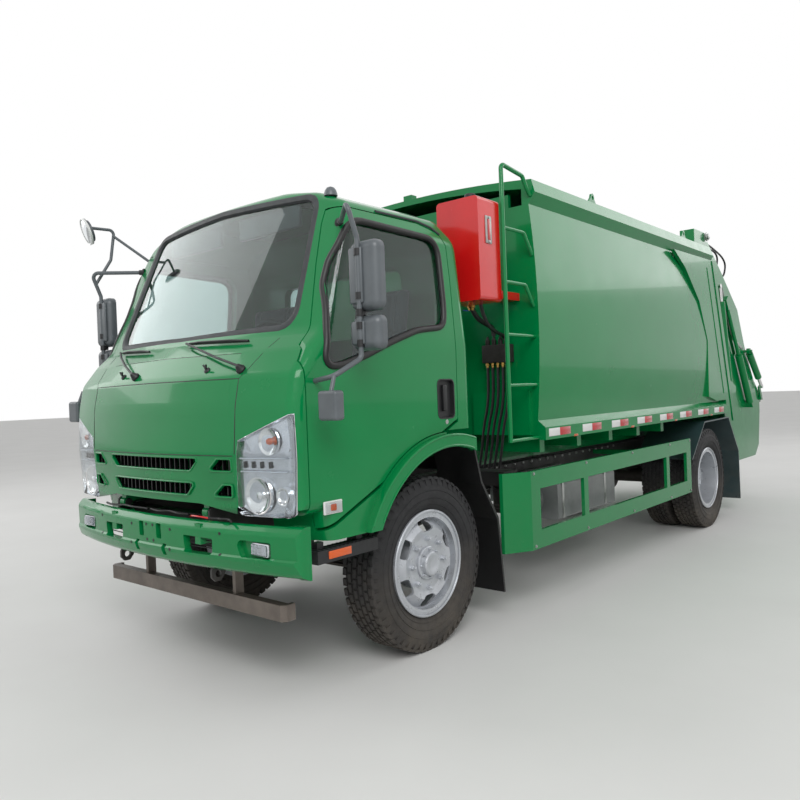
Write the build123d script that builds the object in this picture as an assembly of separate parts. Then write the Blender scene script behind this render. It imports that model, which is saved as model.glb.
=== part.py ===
from build123d import *
import os
from math import atan2, cos, degrees, hypot, radians, sin, sqrt

# Rear loading compactor garbage truck, millimetres, +Z up.
# The front of the truck looks along -Y and its left side is at +X.
# Everything is modelled from the front axle: Y = 0 there and grows rearwards.
# ORIGIN_SHIFT moves the finished truck so that its origin is on the ground at mid length.

# Wheels and axles
TYRE_RADIUS = 481.0
TYRE_WIDTH = 236.0
TYRE_WALL = 20.0
TREAD_WIDTH = 190.0
RIM_FLANGE_RADIUS = 293.0
RIM_BARREL_RADIUS = 262.0
RIM_BARREL_WALL = 8.0
RIM_WIDTH = 166.0
RIM_FLANGE = 11.0
STUD_CIRCLE = 275.0
STUD_COUNT = 8
HAND_HOLE_COUNT = 6
WHEELBASE = 4253.0
FRONT_WHEEL_X = 840.0
KINGPIN_X = 690.0
KINGPIN_RADIUS = 22.0
DUAL_CENTRE_X = 854.0
DUAL_SPACING = 276.0
SPINDLE_RADIUS = 36.0
AXLE_TUBE_RADIUS = 74.0
BEARING_GAP = 0.3
STEERING_ARM = 190.0
TIE_ROD_RADIUS = 16.0
BALL_STUD_RADIUS = 10.0
AXLE_Z = TYRE_RADIUS

# Frame
RAIL_OUTER_X = 425.0
RAIL_FLANGE = 75.0
RAIL_WALL = 8.0
RAIL_BOTTOM_Z = 660.0
RAIL_TOP_Z = 880.0
RAIL_FRONT_Y = -1010.0
RAIL_REAR_Y = 5060.0
SPRING_X = 410.0
SPRING_WIDTH = 70.0
SPRING_GAP = 0.3
TOW_EYE_RADIUS = 17.0
TOW_EYE_Y = RAIL_FRONT_Y - 30.0
TOW_EYE_Z = 578.0

# Cab
CAB_HALF_WIDTH = 1018.0
CAB_ROOF_EDGE_X = 930.0
CAB_BOW_RADIUS = 4500.0
CAB_CORNER_RADIUS = 70.0
SMALL_RADIUS = 5.0
CAB_FRONT_Y = -1138.0
CAB_REAR_Y = 366.0
CAB_LOW_Z = 757.0
CAB_REAR_LOW_Z = 1215.0
CAB_ROOF_Z = 2545.0
CAB_BELT_Z = 1690.0
CAB_WALL = 55.0
DOOR_THICKNESS = 70.0
DASH_INSET = 76.0
PANEL_GAP = 6.0
SKIN_GAP = 0.3
ARCH_Y = 98.0
ARCH_Z = 434.0
ARCH_RADIUS = 690.0
FLARE_WIDTH = 74.0
FLARE_STAND = 42.0
GLASS_THICKNESS = 5.0
GLASS_INSET = 12.0
FLOOR_Z = 1190.0
TILT_Y = -1050.0
TILT_Z = 880.0
TILT_PIN_RADIUS = 20.0
FOOTWELL_LOW_Z = 925.0
LAMP_REAR_Y = -1000.0
HOOD_REAR_Y = -950.0
GRILLE_REAR_Y = -1005.0
GRILLE_BAR_INSET = 22.0
GRILLE_BAR_PITCH = 42.0
GRILLE_BAR_DEPTH = 16.0
DOOR_HINGE_Y = -926.0
DOOR_SILL_GAP = 14.0
MIRROR_REACH_X = 1285.0
MIRROR_WIDTH = 175.0
HANDLE_Y = (33.0, 180.0)
HANDLE_Z = (1285.0, 1497.0)
HANDLE_DEPTH = 22.0

# Bumper and under-run bar
BUMPER_FRONT_Y = -1153.0
BUMPER_TOP_Z = 850.0
BUMPER_LOW_Z = 606.0
BUMPER_HALF_WIDTH = 1028.0
BUMPER_REAR_Y = -955.0
BUMPER_WALL = 45.0
BUMPER_CORNER_RADIUS = 62.0
UNDERRUN_HALF = 805.0
# Bumper openings as ((x, z, corner radius) points, depth of a blind pocket or 0 for a hole through the wall).
BUMPER_POCKETS = [
    ([(291, 774, 8), (507, 770, 10), (500, 692, 14), (300, 690, 14)], 0),
    ([(60, 812, 4), (104, 812, 4), (104, 735, 4), (60, 735, 4)], 0),
    ([(112, 712, 4), (144, 712, 4), (144, 655, 4), (112, 655, 4)], 0),
    ([(655, 780, 30), (872, 776, 12), (868, 700, 16), (690, 700, 16)], 38),
]

# Load body
BODY_FRONT_Y = 1030.0
BODY_FLOOR_Z = 1092.0
BODY_FLOOR_THICKNESS = 24.0
BODY_HALF_WIDTH = 1052.0
BODY_BULGE = 46.0
BODY_WALL = 30.0
SILL_TOP_Z = 1228.0
SILL_EDGE_Z = 1174.0
SILL_HALF_WIDTH = BODY_HALF_WIDTH + 68.0
SIDE_TOP_Z = 2632.0
LADDER_X = 1065.0
LADDER_Y = 690.0
RAIL_PEAK_Z = SIDE_TOP_Z + 71.0
RAIL_PEAK_X = BODY_HALF_WIDTH + 50.0
ROOF_EDGE_Z = SIDE_TOP_Z + 156.0
ROOF_EDGE_X = BODY_HALF_WIDTH + 26.0
ROOF_CROWN_Z = ROOF_EDGE_Z + 67.0
ROOF_DEPTH = 40.0
SEAM_TOP = (4560.0, 2850.0)
SEAM_LOW = (5154.0, 1000.0)
SEAM_GAP = 12.0
SEAM_STRIP = [(4612, 2640), (5144, 1000), (5064, 1000), (4532, 2640)]
LIFTING_EYE_Y = (1970.0, 3900.0)
POST_OUTER_X = BODY_HALF_WIDTH + 52.0
BRACKET_X = POST_OUTER_X - 13.0
STRIP_WIDTH = 80.0
GUARD_REAR_Y = 3725.0
GUARD_INNER_X = 590.0

# Tailgate and its mechanism
HINGE_Y = 4600.0
HINGE_Z = ROOF_CROWN_Z + 50.0
HINGE_PIN_RADIUS = 25.0
GATE_SIDE_X = BODY_HALF_WIDTH - 52.0
GATE_WALL = 14.0
SLIDE_TOP = (5020.0, 2480.0)
SLIDE_ANGLE = 54.8
SLIDE_TRAVEL = 600.0
SLIDE_LUG_U = (200.0, 330.0)
SLIDE_BARREL_U = (SLIDE_LUG_U[1] + SLIDE_TRAVEL + 10, SLIDE_LUG_U[1] + 2 * SLIDE_TRAVEL + 70)
BLADE_HINGE_U = 860.0
BLADE_LENGTH = 600.0
HOPPER_RADIUS = 625.0
HOPPER_WALL = 18.0
HOPPER_LOW_Z = 520.0
LIP_Y = 6452.0
CYLINDER_X = POST_OUTER_X - 58.0
BARREL_RADIUS = 38.0
ROD_RADIUS = 20.0
BORE_GAP = 0.5
LIFT_BASE = (5180.0, 1330.0)
LIFT_EYE = (4960.0, 2430.0)
LIFTER_HINGE = (6540.0, 1205.0)
LIFTER_BASE = (5960.0, 1760.0)
LIFTER_LEVER = (-80.0, 139.0)
BLADE_CYLINDER_X = 500.0
BLADE_BASE_UV = (250.0, -30.0)
BLADE_LEVER = (-110.0, 30.0)
LIFTER_LOW_Z = 560.0
LIFTER_REAR_Y = 6800.0

# Joint ranges in degrees
STEER_LIMIT = 33.0
DOOR_LIMIT = 60.0
TILT_LIMIT = 45.0
GATE_LIMIT = 80.0
BLADE_LIMIT = 60.0
LIFTER_LIMIT = 115.0
EJECTOR_TRAVEL = 3000.0

ORIGIN_SHIFT = -(BUMPER_FRONT_Y + LIFTER_REAR_Y) / 2


def block(x0, x1, y0, y1, z0, z1):
    """A box between two corners."""
    return Pos((x0 + x1) / 2, (y0 + y1) / 2, (z0 + z1) / 2) * Box(abs(x1 - x0), abs(y1 - y0), abs(z1 - z0))


def side_face(points, x=0.0):
    """A flat face in a vertical plane along the truck, from (y, z) points."""
    return Plane.YZ.offset(x) * make_face(Polyline(*points, close=True))


def side_plate(points, x0, x1):
    """A plate cut to a side outline of (y, z) points, from x0 to x1."""
    return extrude(side_face(points, x0), x1 - x0)


def front_plate(points, y0, y1):
    """A plate cut to a front outline of (x, z) points, from y0 to y1."""
    face = Plane.XZ.offset(-y0) * make_face(Polyline(*points, close=True))
    return extrude(face, y0 - y1)


def bar_x(radius, x0, x1, y, z):
    """A round bar across the truck."""
    return Pos((x0 + x1) / 2, y, z) * Rot(0, 90, 0) * Cylinder(radius, abs(x1 - x0))


def bar(radius, start, end):
    """A round bar between two points."""
    start, end = Vector(*start), Vector(*end)
    axis = end - start
    return extrude(Plane(origin=start, z_dir=axis) * Circle(radius), axis.length)


def tube_path(radius, points, bend):
    """A round tube along straight runs with bends of one radius."""
    path = FilletPolyline(*points, radius=bend)
    start = Plane(origin=path @ 0, z_dir=path % 0)
    return sweep(start * Circle(radius), path=path)


def both_sides(shape):
    """A shape and its mirror image on the other side of the truck."""
    return [shape, mirror(shape, about=Plane.YZ)]


def tyre(centre_x):
    """One tyre: a hollow carcass, open towards the rim, as a turned section."""
    half = TYRE_WIDTH / 2
    tread = TREAD_WIDTH / 2
    bead = RIM_WIDTH / 2 - BEARING_GAP
    wall = TYRE_WALL
    bead_radius = RIM_BARREL_RADIUS + BEARING_GAP
    outside = [
        (-bead, bead_radius), (-bead, RIM_FLANGE_RADIUS + 4), (-half, 372), (-half, 405),
        (-tread, TYRE_RADIUS - 10), (-tread + 25, TYRE_RADIUS),
    ]
    inside = [
        (-bead + wall, bead_radius), (-bead + wall, RIM_FLANGE_RADIUS + 12), (-half + wall, 375),
        (-half + wall, 400), (-tread + 12, TYRE_RADIUS - 36),
    ]
    left = outside + [(-x, r) for x, r in reversed(outside)]
    back = [(-x, r) for x, r in inside] + list(reversed(inside))
    section = Plane.XZ * make_face(Polyline(*(left + back), close=True))
    return Pos(centre_x, 0, 0) * revolve(section, Axis.X)


def rim_barrel(centre_x):
    """The rim of one wheel with its two flanges."""
    half = RIM_WIDTH / 2
    outer = half + RIM_FLANGE
    radius = RIM_BARREL_RADIUS
    inner = radius - RIM_BARREL_WALL
    section = [
        (-outer, inner), (outer, inner), (outer, RIM_FLANGE_RADIUS), (half, RIM_FLANGE_RADIUS),
        (half, radius), (-half, radius), (-half, RIM_FLANGE_RADIUS), (-outer, RIM_FLANGE_RADIUS),
    ]
    return Pos(centre_x, 0, 0) * revolve(Plane.XZ * make_face(Polyline(*section, close=True)), Axis.X)


def wheel_disc(points, hand_hole_radius, hand_hole_circle, x0, x1):
    """A turned wheel disc from (x, r) points with a ring of hand holes."""
    disc = revolve(Plane.XZ * make_face(Polyline(*points, close=True)), Axis.X)
    for index in range(HAND_HOLE_COUNT):
        angle = 360.0 * index / HAND_HOLE_COUNT
        hole = Pos(x0, 0, hand_hole_circle) * Rot(0, 90, 0) * extrude(SlotOverall(3.2 * hand_hole_radius, 2 * hand_hole_radius, 90), x1 - x0)
        disc -= Rot(angle, 0, 0) * hole
    return disc


def stud_ring(x0, x1, radius):
    """The ring of wheel studs and nuts."""
    studs = Part()
    for index in range(STUD_COUNT):
        studs += Rot(360.0 * index / STUD_COUNT, 0, 0) * bar_x(radius, x0, x1, 0, STUD_CIRCLE / 2)
    return studs


def front_wheel():
    """Tyre and rim of the left front wheel, about the spindle axis."""
    centre = FRONT_WHEEL_X
    inner = RIM_BARREL_RADIUS - RIM_BARREL_WALL
    disc_points = [
        (centre + 52, inner + 1), (centre + 40, inner + 1), (centre + 40, 238), (centre + 82, 196),
        (centre + 70, 150), (centre + 70, SPINDLE_RADIUS + 24), (centre + 84, SPINDLE_RADIUS + 24),
        (centre + 84, 152), (centre + 96, 198), (centre + 54, 246),
    ]
    rim = rim_barrel(centre) + wheel_disc(disc_points, 34, 210, centre, centre + 120)
    hub = bar_x(88, centre - 70, centre + 92, 0, 0) + bar_x(150, centre - 30, centre + 75, 0, 0)
    rim += hub + stud_ring(centre + 60, centre + 108, 13)
    rim -= bar_x(SPINDLE_RADIUS + BEARING_GAP, centre - 71, centre + 60, 0, 0)
    return tyre(centre), rim


def rear_wheel():
    """Both tyres and both rims of the left rear wheel, about the axle."""
    outer = DUAL_CENTRE_X + DUAL_SPACING / 2
    inner = DUAL_CENTRE_X - DUAL_SPACING / 2
    radius = RIM_BARREL_RADIUS - RIM_BARREL_WALL + 1
    tyres = [tyre(outer), tyre(inner)]
    rims = rim_barrel(outer) + rim_barrel(inner)
    face = DUAL_CENTRE_X
    outer_disc = [
        (outer - 60, radius), (outer - 72, radius), (face + 12, 200), (face, 190), (face, 80),
        (face + 12, 80), (face + 12, 184), (face + 24, 194),
    ]
    inner_disc = [(2 * face - x, r) for x, r in outer_disc]
    for points in (outer_disc, inner_disc):
        rims += wheel_disc(points, 32, 226, inner - 60, outer + 60)
    rims += bar_x(175, inner - 60, face - 1, 0, 0)
    rims += bar_x(92, face - 20, outer - 24, 0, 0)
    rims += bar_x(120, outer - 24, outer - 10, 0, 0)
    rims += stud_ring(face - 20, face + 52, 13)
    rims -= bar_x(SPINDLE_RADIUS + BEARING_GAP, inner - 61, outer - 40, 0, 0)
    return tyres, rims


def knuckle():
    """Left steering knuckle: fork, king pin, spindle and steering arm."""
    fork = block(KINGPIN_X - 36, KINGPIN_X + 60, -44, 44, AXLE_Z + 62, AXLE_Z + 92)
    fork += block(KINGPIN_X - 36, KINGPIN_X + 60, -44, 44, AXLE_Z - 92, AXLE_Z - 62)
    fork += block(KINGPIN_X + 50, KINGPIN_X + 74, -44, 44, AXLE_Z - 92, AXLE_Z + 92)
    pin = Pos(KINGPIN_X, 0, AXLE_Z) * Cylinder(KINGPIN_RADIUS, 200)
    spindle = bar_x(SPINDLE_RADIUS, KINGPIN_X + 60, FRONT_WHEEL_X + 55, 0, AXLE_Z)
    arm_top = AXLE_Z - 68
    arm = block(KINGPIN_X - 24, KINGPIN_X + 16, 0, STEERING_ARM + 22, arm_top - 24, arm_top)
    stud = Pos(KINGPIN_X, STEERING_ARM, arm_top - 42) * Cylinder(BALL_STUD_RADIUS, 60)
    return fork + pin + spindle + arm + stud


def tie_rod():
    """The tie rod with an eye round each knuckle's ball stud."""
    z = AXLE_Z - 118
    rod = bar_x(TIE_ROD_RADIUS, -KINGPIN_X, KINGPIN_X, STEERING_ARM, z)
    for x in (KINGPIN_X, -KINGPIN_X):
        rod += Pos(x, STEERING_ARM, z) * Cylinder(26, 34)
    for x in (KINGPIN_X, -KINGPIN_X):
        rod -= Pos(x, STEERING_ARM, z) * Cylinder(BALL_STUD_RADIUS + BEARING_GAP, 80)
    return rod


def front_axle_beam():
    """The dropped front axle beam with a bored boss for each king pin."""
    low, high = AXLE_Z - 95, AXLE_Z - 20
    upper = [(-KINGPIN_X, AXLE_Z + 45), (-SPRING_X - 80, high), (SPRING_X + 80, high), (KINGPIN_X, AXLE_Z + 45)]
    lower = [(KINGPIN_X, AXLE_Z - 45), (SPRING_X + 90, low), (-SPRING_X - 90, low), (-KINGPIN_X, AXLE_Z - 45)]
    beam = front_plate(upper + lower, -40, 40)
    web_cut = block(-SPRING_X + 70, SPRING_X - 70, 12, 41, low + 16, high - 16)
    beam -= web_cut + mirror(web_cut, about=Plane.XZ)
    for x in (KINGPIN_X, -KINGPIN_X):
        beam += Pos(x, 0, AXLE_Z) * Cylinder(44, 116)
    for x in (KINGPIN_X, -KINGPIN_X):
        beam -= Pos(x, 0, AXLE_Z) * Cylinder(KINGPIN_RADIUS + BEARING_GAP, 130)
    return beam


def rear_axle():
    """The driven rear axle: banjo housing, tubes and spindle ends."""
    inner_wheel = DUAL_CENTRE_X - DUAL_SPACING / 2
    housing = bar_x(AXLE_TUBE_RADIUS, -inner_wheel + 66, inner_wheel - 66, 0, 0)
    housing += bar_x(SPINDLE_RADIUS, -DUAL_CENTRE_X - 90, DUAL_CENTRE_X + 90, 0, 0)
    banjo = revolve(Plane.XZ * make_face(Polyline((-130, 0), (-105, 150), (-60, 195), (60, 195), (105, 150), (130, 0), close=True)), Axis.X)
    nose = Plane.XZ.offset(120) * Circle(90)
    housing += banjo + extrude(nose, 140)
    return Pos(0, WHEELBASE, AXLE_Z) * housing


def leaf_pack(y_centre, half_length, seat_z, eye_z, hanger_z, leaves):
    """One leaf spring pack with its hangers, about x = 0, as one solid."""
    thickness = 12.0
    drop = eye_z - seat_z
    radius = (half_length ** 2 + drop ** 2) / (2 * drop)
    pack = Part()
    for index in range(leaves):
        reach = half_length * (1 - 0.14 * index)
        low = seat_z - thickness * (index + 1)
        rise = radius - sqrt(radius ** 2 - reach ** 2)
        under = ThreePointArc(
            Vector(0, y_centre - reach, low + rise), Vector(0, y_centre, low), Vector(0, y_centre + reach, low + rise)
        )
        over = ThreePointArc(
            Vector(0, y_centre + reach, low + rise + thickness + 1),
            Vector(0, y_centre, low + thickness + 1),
            Vector(0, y_centre - reach, low + rise + thickness + 1),
        )
        ends = [Line(under @ 1, over @ 0), Line(over @ 1, under @ 0)]
        face = make_face([under, ends[0], over, ends[1]])
        pack += Pos(-SPRING_WIDTH / 2, 0, 0) * extrude(face, SPRING_WIDTH, dir=(1, 0, 0))
    for end in (-1, 1):
        y = y_centre + end * half_length
        pack += bar_x(24, -SPRING_WIDTH / 2, SPRING_WIDTH / 2, y, eye_z)
        pack += block(-SPRING_WIDTH / 2, SPRING_WIDTH / 2, y - 22, y + 22, eye_z, hanger_z)
    clamp = block(-SPRING_WIDTH / 2, SPRING_WIDTH / 2, y_centre - 60, y_centre + 60, seat_z - thickness * leaves - 4, seat_z + 22)
    return pack + clamp


def leaf_springs():
    """Two front and two rear leaf springs with their hangers."""
    front_seat = AXLE_Z - 20 + SPRING_GAP + 4 + 12 * 4
    rear_seat = AXLE_Z + AXLE_TUBE_RADIUS + SPRING_GAP + 4 + 12 * 4
    hanger = RAIL_BOTTOM_Z - SPRING_GAP
    front = leaf_pack(0, 590, front_seat, front_seat + 70, hanger, 4)
    rear = leaf_pack(WHEELBASE, 640, rear_seat, hanger - 25, hanger, 4)
    springs = []
    for pack, x in ((front, SPRING_X), (rear, RAIL_OUTER_X - SPRING_WIDTH / 2)):
        springs += [Pos(x, 0, 0) * pack, Pos(-x, 0, 0) * pack]
    return springs


def frame_rails():
    """Two channel side rails joined by cross members, with the cab's tilt brackets."""
    height = RAIL_TOP_Z - RAIL_BOTTOM_Z
    channel = block(RAIL_OUTER_X - RAIL_FLANGE, RAIL_OUTER_X, RAIL_FRONT_Y, RAIL_REAR_Y, RAIL_BOTTOM_Z, RAIL_TOP_Z)
    hollow = block(
        RAIL_OUTER_X - RAIL_FLANGE - 1, RAIL_OUTER_X - RAIL_WALL, RAIL_FRONT_Y - 1, RAIL_REAR_Y + 1,
        RAIL_BOTTOM_Z + RAIL_WALL, RAIL_TOP_Z - RAIL_WALL,
    )
    frame = Part()
    for rail in both_sides(channel - hollow):
        frame += rail
    for y in (-960.0, 1150.0, 1900.0, 3000.0, 3640.0, 4900.0):
        cross = block(-RAIL_OUTER_X + RAIL_WALL, RAIL_OUTER_X - RAIL_WALL, y - 40, y + 40, RAIL_BOTTOM_Z + 30, RAIL_TOP_Z - 30)
        gap = block(-RAIL_OUTER_X, RAIL_OUTER_X, y - 32, y + 41, RAIL_BOTTOM_Z + 38, RAIL_TOP_Z - 38)
        frame += cross - gap
    bracket = [
        (RAIL_FRONT_Y, RAIL_TOP_Z - height / 2), (TILT_Y - 28, TILT_Z - 40), (TILT_Y - 28, TILT_Z + 12),
        (TILT_Y - 12, TILT_Z + 28), (TILT_Y + 28, TILT_Z + 28), (RAIL_FRONT_Y + 60, RAIL_TOP_Z),
        (RAIL_FRONT_Y + 130, RAIL_BOTTOM_Z), (RAIL_FRONT_Y, RAIL_BOTTOM_Z),
    ]
    plate = side_plate(bracket, RAIL_OUTER_X - 1, RAIL_OUTER_X + 14)
    eye_y, eye_z = TOW_EYE_Y, TOW_EYE_Z
    plate += side_plate([
        (RAIL_FRONT_Y + 110, RAIL_BOTTOM_Z + 20), (RAIL_FRONT_Y + 40, RAIL_BOTTOM_Z - 30), (eye_y + 36, eye_z - 10),
        (eye_y + 14, eye_z - 36), (eye_y - 18, eye_z - 36), (eye_y - 38, eye_z - 14), (eye_y - 38, eye_z + 18),
        (eye_y - 16, RAIL_BOTTOM_Z), (RAIL_FRONT_Y + 4, RAIL_BOTTOM_Z + 70),
    ], RAIL_OUTER_X - 1, RAIL_OUTER_X + 14)
    plate -= bar_x(TOW_EYE_RADIUS, RAIL_OUTER_X - 60, RAIL_OUTER_X + 60, eye_y, eye_z)
    pin = bar_x(TILT_PIN_RADIUS, RAIL_OUTER_X - 60, RAIL_OUTER_X + 8, TILT_Y, TILT_Z)
    for side in both_sides(plate + pin):
        frame += side
    return frame


def power_train():
    """Engine and gearbox as one plain block, with the propeller shaft to the rear axle."""
    block_shape = block(-290, 290, -560, 420, 620, 1130)
    gearbox = block(-190, 190, 420, 980, 540, 800)
    shaft = bar(48, (0, 970, 640), (0, WHEELBASE - 263, AXLE_Z + 4))
    mounts = Part()
    for side in (1, -1):
        for y in (-300.0, 250.0):
            mounts += block(side * 280, side * 410, y - 40, y + 40, RAIL_BOTTOM_Z + RAIL_WALL + SKIN_GAP, 740)
    return block_shape + gearbox + shaft + mounts


def fuel_tank():
    """Rectangular fuel tank with rounded edges, on the right rail."""
    tank = block(-980, -RAIL_OUTER_X - 30, 1500, 2500, 480, 880)
    tank = fillet(tank.edges().filter_by(Axis.Y), 60)
    straps = Part()
    for y in (1700.0, 2300.0):
        straps += block(-RAIL_OUTER_X - 31, -RAIL_OUTER_X - 0.3, y - 25, y + 25, 520, 860)
    cap = Pos(-800, 1620, 892) * Cylinder(42, 30)
    return tank + straps + cap


def battery_and_air_tanks():
    """Battery box and air tanks on the left rail, behind the side guard."""
    box_part = block(RAIL_OUTER_X + 40, 900, 1560, 2520, 470, 730)
    box_part = fillet(box_part.edges().filter_by(Axis.Y), 18)
    box_part += block(RAIL_OUTER_X + 0.3, RAIL_OUTER_X + 60, 1700, 2400, 520, 780)
    air = bar(125, (690, 1360, 620), (690, 1500, 620))
    air += block(RAIL_OUTER_X + 0.3, 690, 1400, 1460, 600, 760)
    return [box_part, air]


def filter_unit():
    """Filter canister with its head, in front of the side guard."""
    head = block(RAIL_OUTER_X + 0.3, 960, 760, 920, 815, 905)
    canister = Pos(895, 840, 730) * Cylinder(62, 180)
    return head + canister


def exhaust_silencer():
    """Silencer drum and tail pipe on the right side."""
    drum = bar(120, (-650, 700, 640), (-650, 1330, 640))
    hanger = block(-650, -RAIL_OUTER_X - 0.3, 980, 1040, 700, 840)
    pipe = bar(38, (-650, 610, 640), (-650, 1420, 640))
    return drum + hanger + pipe


def bowed(face):
    """A solid whose front follows the cab's bow, turned from a side profile face."""
    axis_y = CAB_FRONT_Y + CAB_BOW_RADIUS
    turned = revolve(face, Axis((0, axis_y, 0), (0, 0, 1)), 40)
    return Pos(0, axis_y, 0) * Rot(0, 0, -20) * Pos(0, -axis_y, 0) * turned


def rounded_face(plane, points, inset=0.0):
    """A face with rounded corners from (a, b, radius) points, with every side moved in by inset."""
    face = plane * make_face(Polyline(*[(a, b) for a, b, _ in points], close=True))
    if inset:
        face = offset(face, -inset, kind=Kind.INTERSECTION)
    for a, b, radius in points:
        if radius:
            place = plane.from_local_coords(Vector(a, b, 0))
            corner = min(face.vertices(), key=lambda vertex: (Vector(*vertex.to_tuple()) - place).length)
            face = fillet([corner], max(radius - inset, SMALL_RADIUS))
    return face


def front_bumper():
    """Bowed bumper shell with vents, plate holes and lamp pockets, on two brackets."""
    rear_y = BUMPER_REAR_Y
    front, top, low, half, wall = BUMPER_FRONT_Y, BUMPER_TOP_Z, BUMPER_LOW_Z, BUMPER_HALF_WIDTH, BUMPER_WALL
    profile = [
        (front + 66, low, 0), (front + 22, low + 22, 40), (front + 2, low + 76, 60), (front, low + 90, 0),
        (front + 10, low + 98, 0), (front + 6, top - 34, 30), (front + 40, top, 30), (0, top, 0), (0, low, 0),
    ]
    corner_y = front - 3 + half ** 2 / (2 * CAB_BOW_RADIUS)
    bow = ThreePointArc((-half, corner_y), (0, front - 3), (half, corner_y))
    back = Polyline((half, corner_y), (half, rear_y), (-half, rear_y), (-half, corner_y))
    plan = make_face([bow, *back.edges()])
    plan = fillet([vertex for vertex in plan.vertices() if vertex.Y < rear_y - 20], BUMPER_CORNER_RADIUS)
    outer = bowed(rounded_face(Plane.YZ, profile)) & Pos(0, 0, low - 50) * extrude(plan, top - low + 100)
    inside = side_face([(front + wall, low - 5), (front + wall, top - wall), (5, top - wall), (5, low - 5)])
    inner = bowed(inside) & block(-half + wall, half - wall, -1400, rear_y + 5, low - 50, top + 50)
    shell = outer - inner
    behind = bowed(side_face([(front + wall, low + 94), (front + wall, top + 50), (5, top + 50), (5, low + 94)]))
    shell -= behind & block(-half + 90, half - 90, -1400, rear_y + 5, low + 94, top + 50)
    for points, depth in BUMPER_POCKETS:
        cut = front_prism(points, 0, -1400, -700)
        if depth:
            deep = bowed(side_face([(front + depth, low), (front + depth, top), (front - 60, top), (front - 60, low)]))
            cut &= deep
        for side in both_sides(cut):
            shell -= side
    for side in both_sides(block(378, RAIL_OUTER_X - 1 - SKIN_GAP, -1125, RAIL_FRONT_Y - 2, 735, 835)):
        shell += side
    return shell


def underrun_bar():
    """Low bar below the bumper with its ends turned back, on two brackets from the rails."""
    end, front, rear = UNDERRUN_HALF, -945, -870
    plan = [
        (-end, rear), (-end, front + 24), (-end + 24, front), (end - 24, front), (end, front + 24), (end, rear),
        (end - 22, rear), (end - 22, front + 50), (-end + 22, front + 50), (-end + 22, rear),
    ]
    beam = Pos(0, 0, 371) * extrude(make_face(Polyline(*plan, close=True)), 79)
    for side in both_sides(block(400, RAIL_OUTER_X - 1, -930, -880, 440, RAIL_BOTTOM_Z - SKIN_GAP)):
        beam += side
    return beam


# Cab side profile as (y, z, corner radius), from the grille's foot up over the roof to the rear foot.
SIDE_PROFILE = [
    (CAB_FRONT_Y + 18, 889, 0), (CAB_FRONT_Y, 1167, 300), (CAB_FRONT_Y + 12, 1400, 400), (CAB_FRONT_Y + 42, 1545, 90),
    (-1005, 1660, 150), (-905, 1753, 150), (-582, CAB_ROOF_Z, 120), (170, CAB_ROOF_Z, 180), (CAB_REAR_Y, 2290, 180),
    (CAB_REAR_Y, CAB_LOW_Z, 0), (-940, CAB_LOW_Z, 0), (-960, 890, 0),
]
# Right half of the cab's cross section as (x, z, corner radius), from the sill up.
CROSS_SECTION = [
    (CAB_HALF_WIDTH, 700, 0), (CAB_HALF_WIDTH, CAB_BELT_Z, 900), (CAB_ROOF_EDGE_X + 26, 2300, 150),
    (CAB_ROOF_EDGE_X - 45, 2420, 90), (700, 2500, 300), (380, CAB_ROOF_Z + 6, 500),
]


def cab_volume(inset):
    """The cab's outer form, or the same form with every wall moved in by inset."""
    profile = rounded_face(Plane.YZ, SIDE_PROFILE, inset)
    left_half = [(-x, z, radius) for x, z, radius in reversed(CROSS_SECTION)]
    section = rounded_face(Plane.XZ, CROSS_SECTION + left_half, inset)
    axis_y = CAB_FRONT_Y + CAB_BOW_RADIUS
    turned = revolve(profile, Axis((0, axis_y, 0), (0, 0, 1)), 40)
    turned = Pos(0, axis_y, 0) * Rot(0, 0, -20) * Pos(0, -axis_y, 0) * turned
    front_half = turned & block(-1300, 1300, -1400, -300, 600, 2700)
    straight = extrude(profile, 1300, both=True) & block(-1300, 1300, -320, 500, 600, 2700)
    form = (front_half + straight) & extrude(section, 1600, both=True)
    corners = [
        edge for edge in form.edges()
        if abs(edge.center().X) > 780 and edge.center().Y < -480 and edge.center().Z > 800
        and edge.geom_type in (GeomType.HYPERBOLA, GeomType.BSPLINE, GeomType.ELLIPSE)
    ]
    radius = CAB_CORNER_RADIUS - max(inset, 0)
    return fillet(corners, radius) if radius > SMALL_RADIUS else form


# Door outlines as (y, z, corner radius) from the side and (x, z, corner radius) from the front.
DOOR_OUTLINE = [
    (-940, 762, 40), (-940, 1595, 0), (-868, 1694, 0), (-822, 1769, 0), (-732, 2090, 0), (-665, 2300, 0), (-560, 2378, 0),
    (40, 2378, 0), (185, 2345, 60), (232, 2270, 60), (232, 2064, 0), (215, 1720, 0), (208, 1262, 0),
]
DOOR_FRONT_EDGE = [
    (1300, 700, 0), (940, 700, 0), (932, 1640, 0), (914, 1769, 0), (845, 2090, 0), (810, 2300, 0),
    (810, 2500, 0), (1300, 2500, 0),
]
WINDOW_OUTLINE = [
    (-690, 2040, 0), (-838, 1560, 40), (-700, 1572, 60), (-541, 1619, 0), (-336, 1695, 0), (-113, 1764, 120), (130, 1790, 45),
    (150, 1919, 0), (158, 2300, 90), (-545, 2318, 120),
]


def side_outline(points, grow):
    """A side outline as a face, made larger by grow on every side."""
    return rounded_face(Plane.YZ, points, -grow)


def left_prism(points, grow, x0=700.0, x1=1300.0):
    """Everything at the left of the truck within a side outline."""
    return Pos(x0, 0, 0) * extrude(side_outline(points, grow), x1 - x0, dir=(1, 0, 0))


def door_prism(grow):
    """The space of the left door, whose front edge wraps round the windscreen pillar."""
    front = rounded_face(Plane.XZ, DOOR_FRONT_EDGE, -grow)
    return left_prism(DOOR_OUTLINE, grow) & extrude(Pos(0, -1300, 0) * front, 1700, dir=(0, 1, 0))


def arch_cut(grow, x0, x1):
    """The round cut of the front wheel arch."""
    return bar_x(ARCH_RADIUS + grow, x0, x1, ARCH_Y, ARCH_Z)


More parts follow.
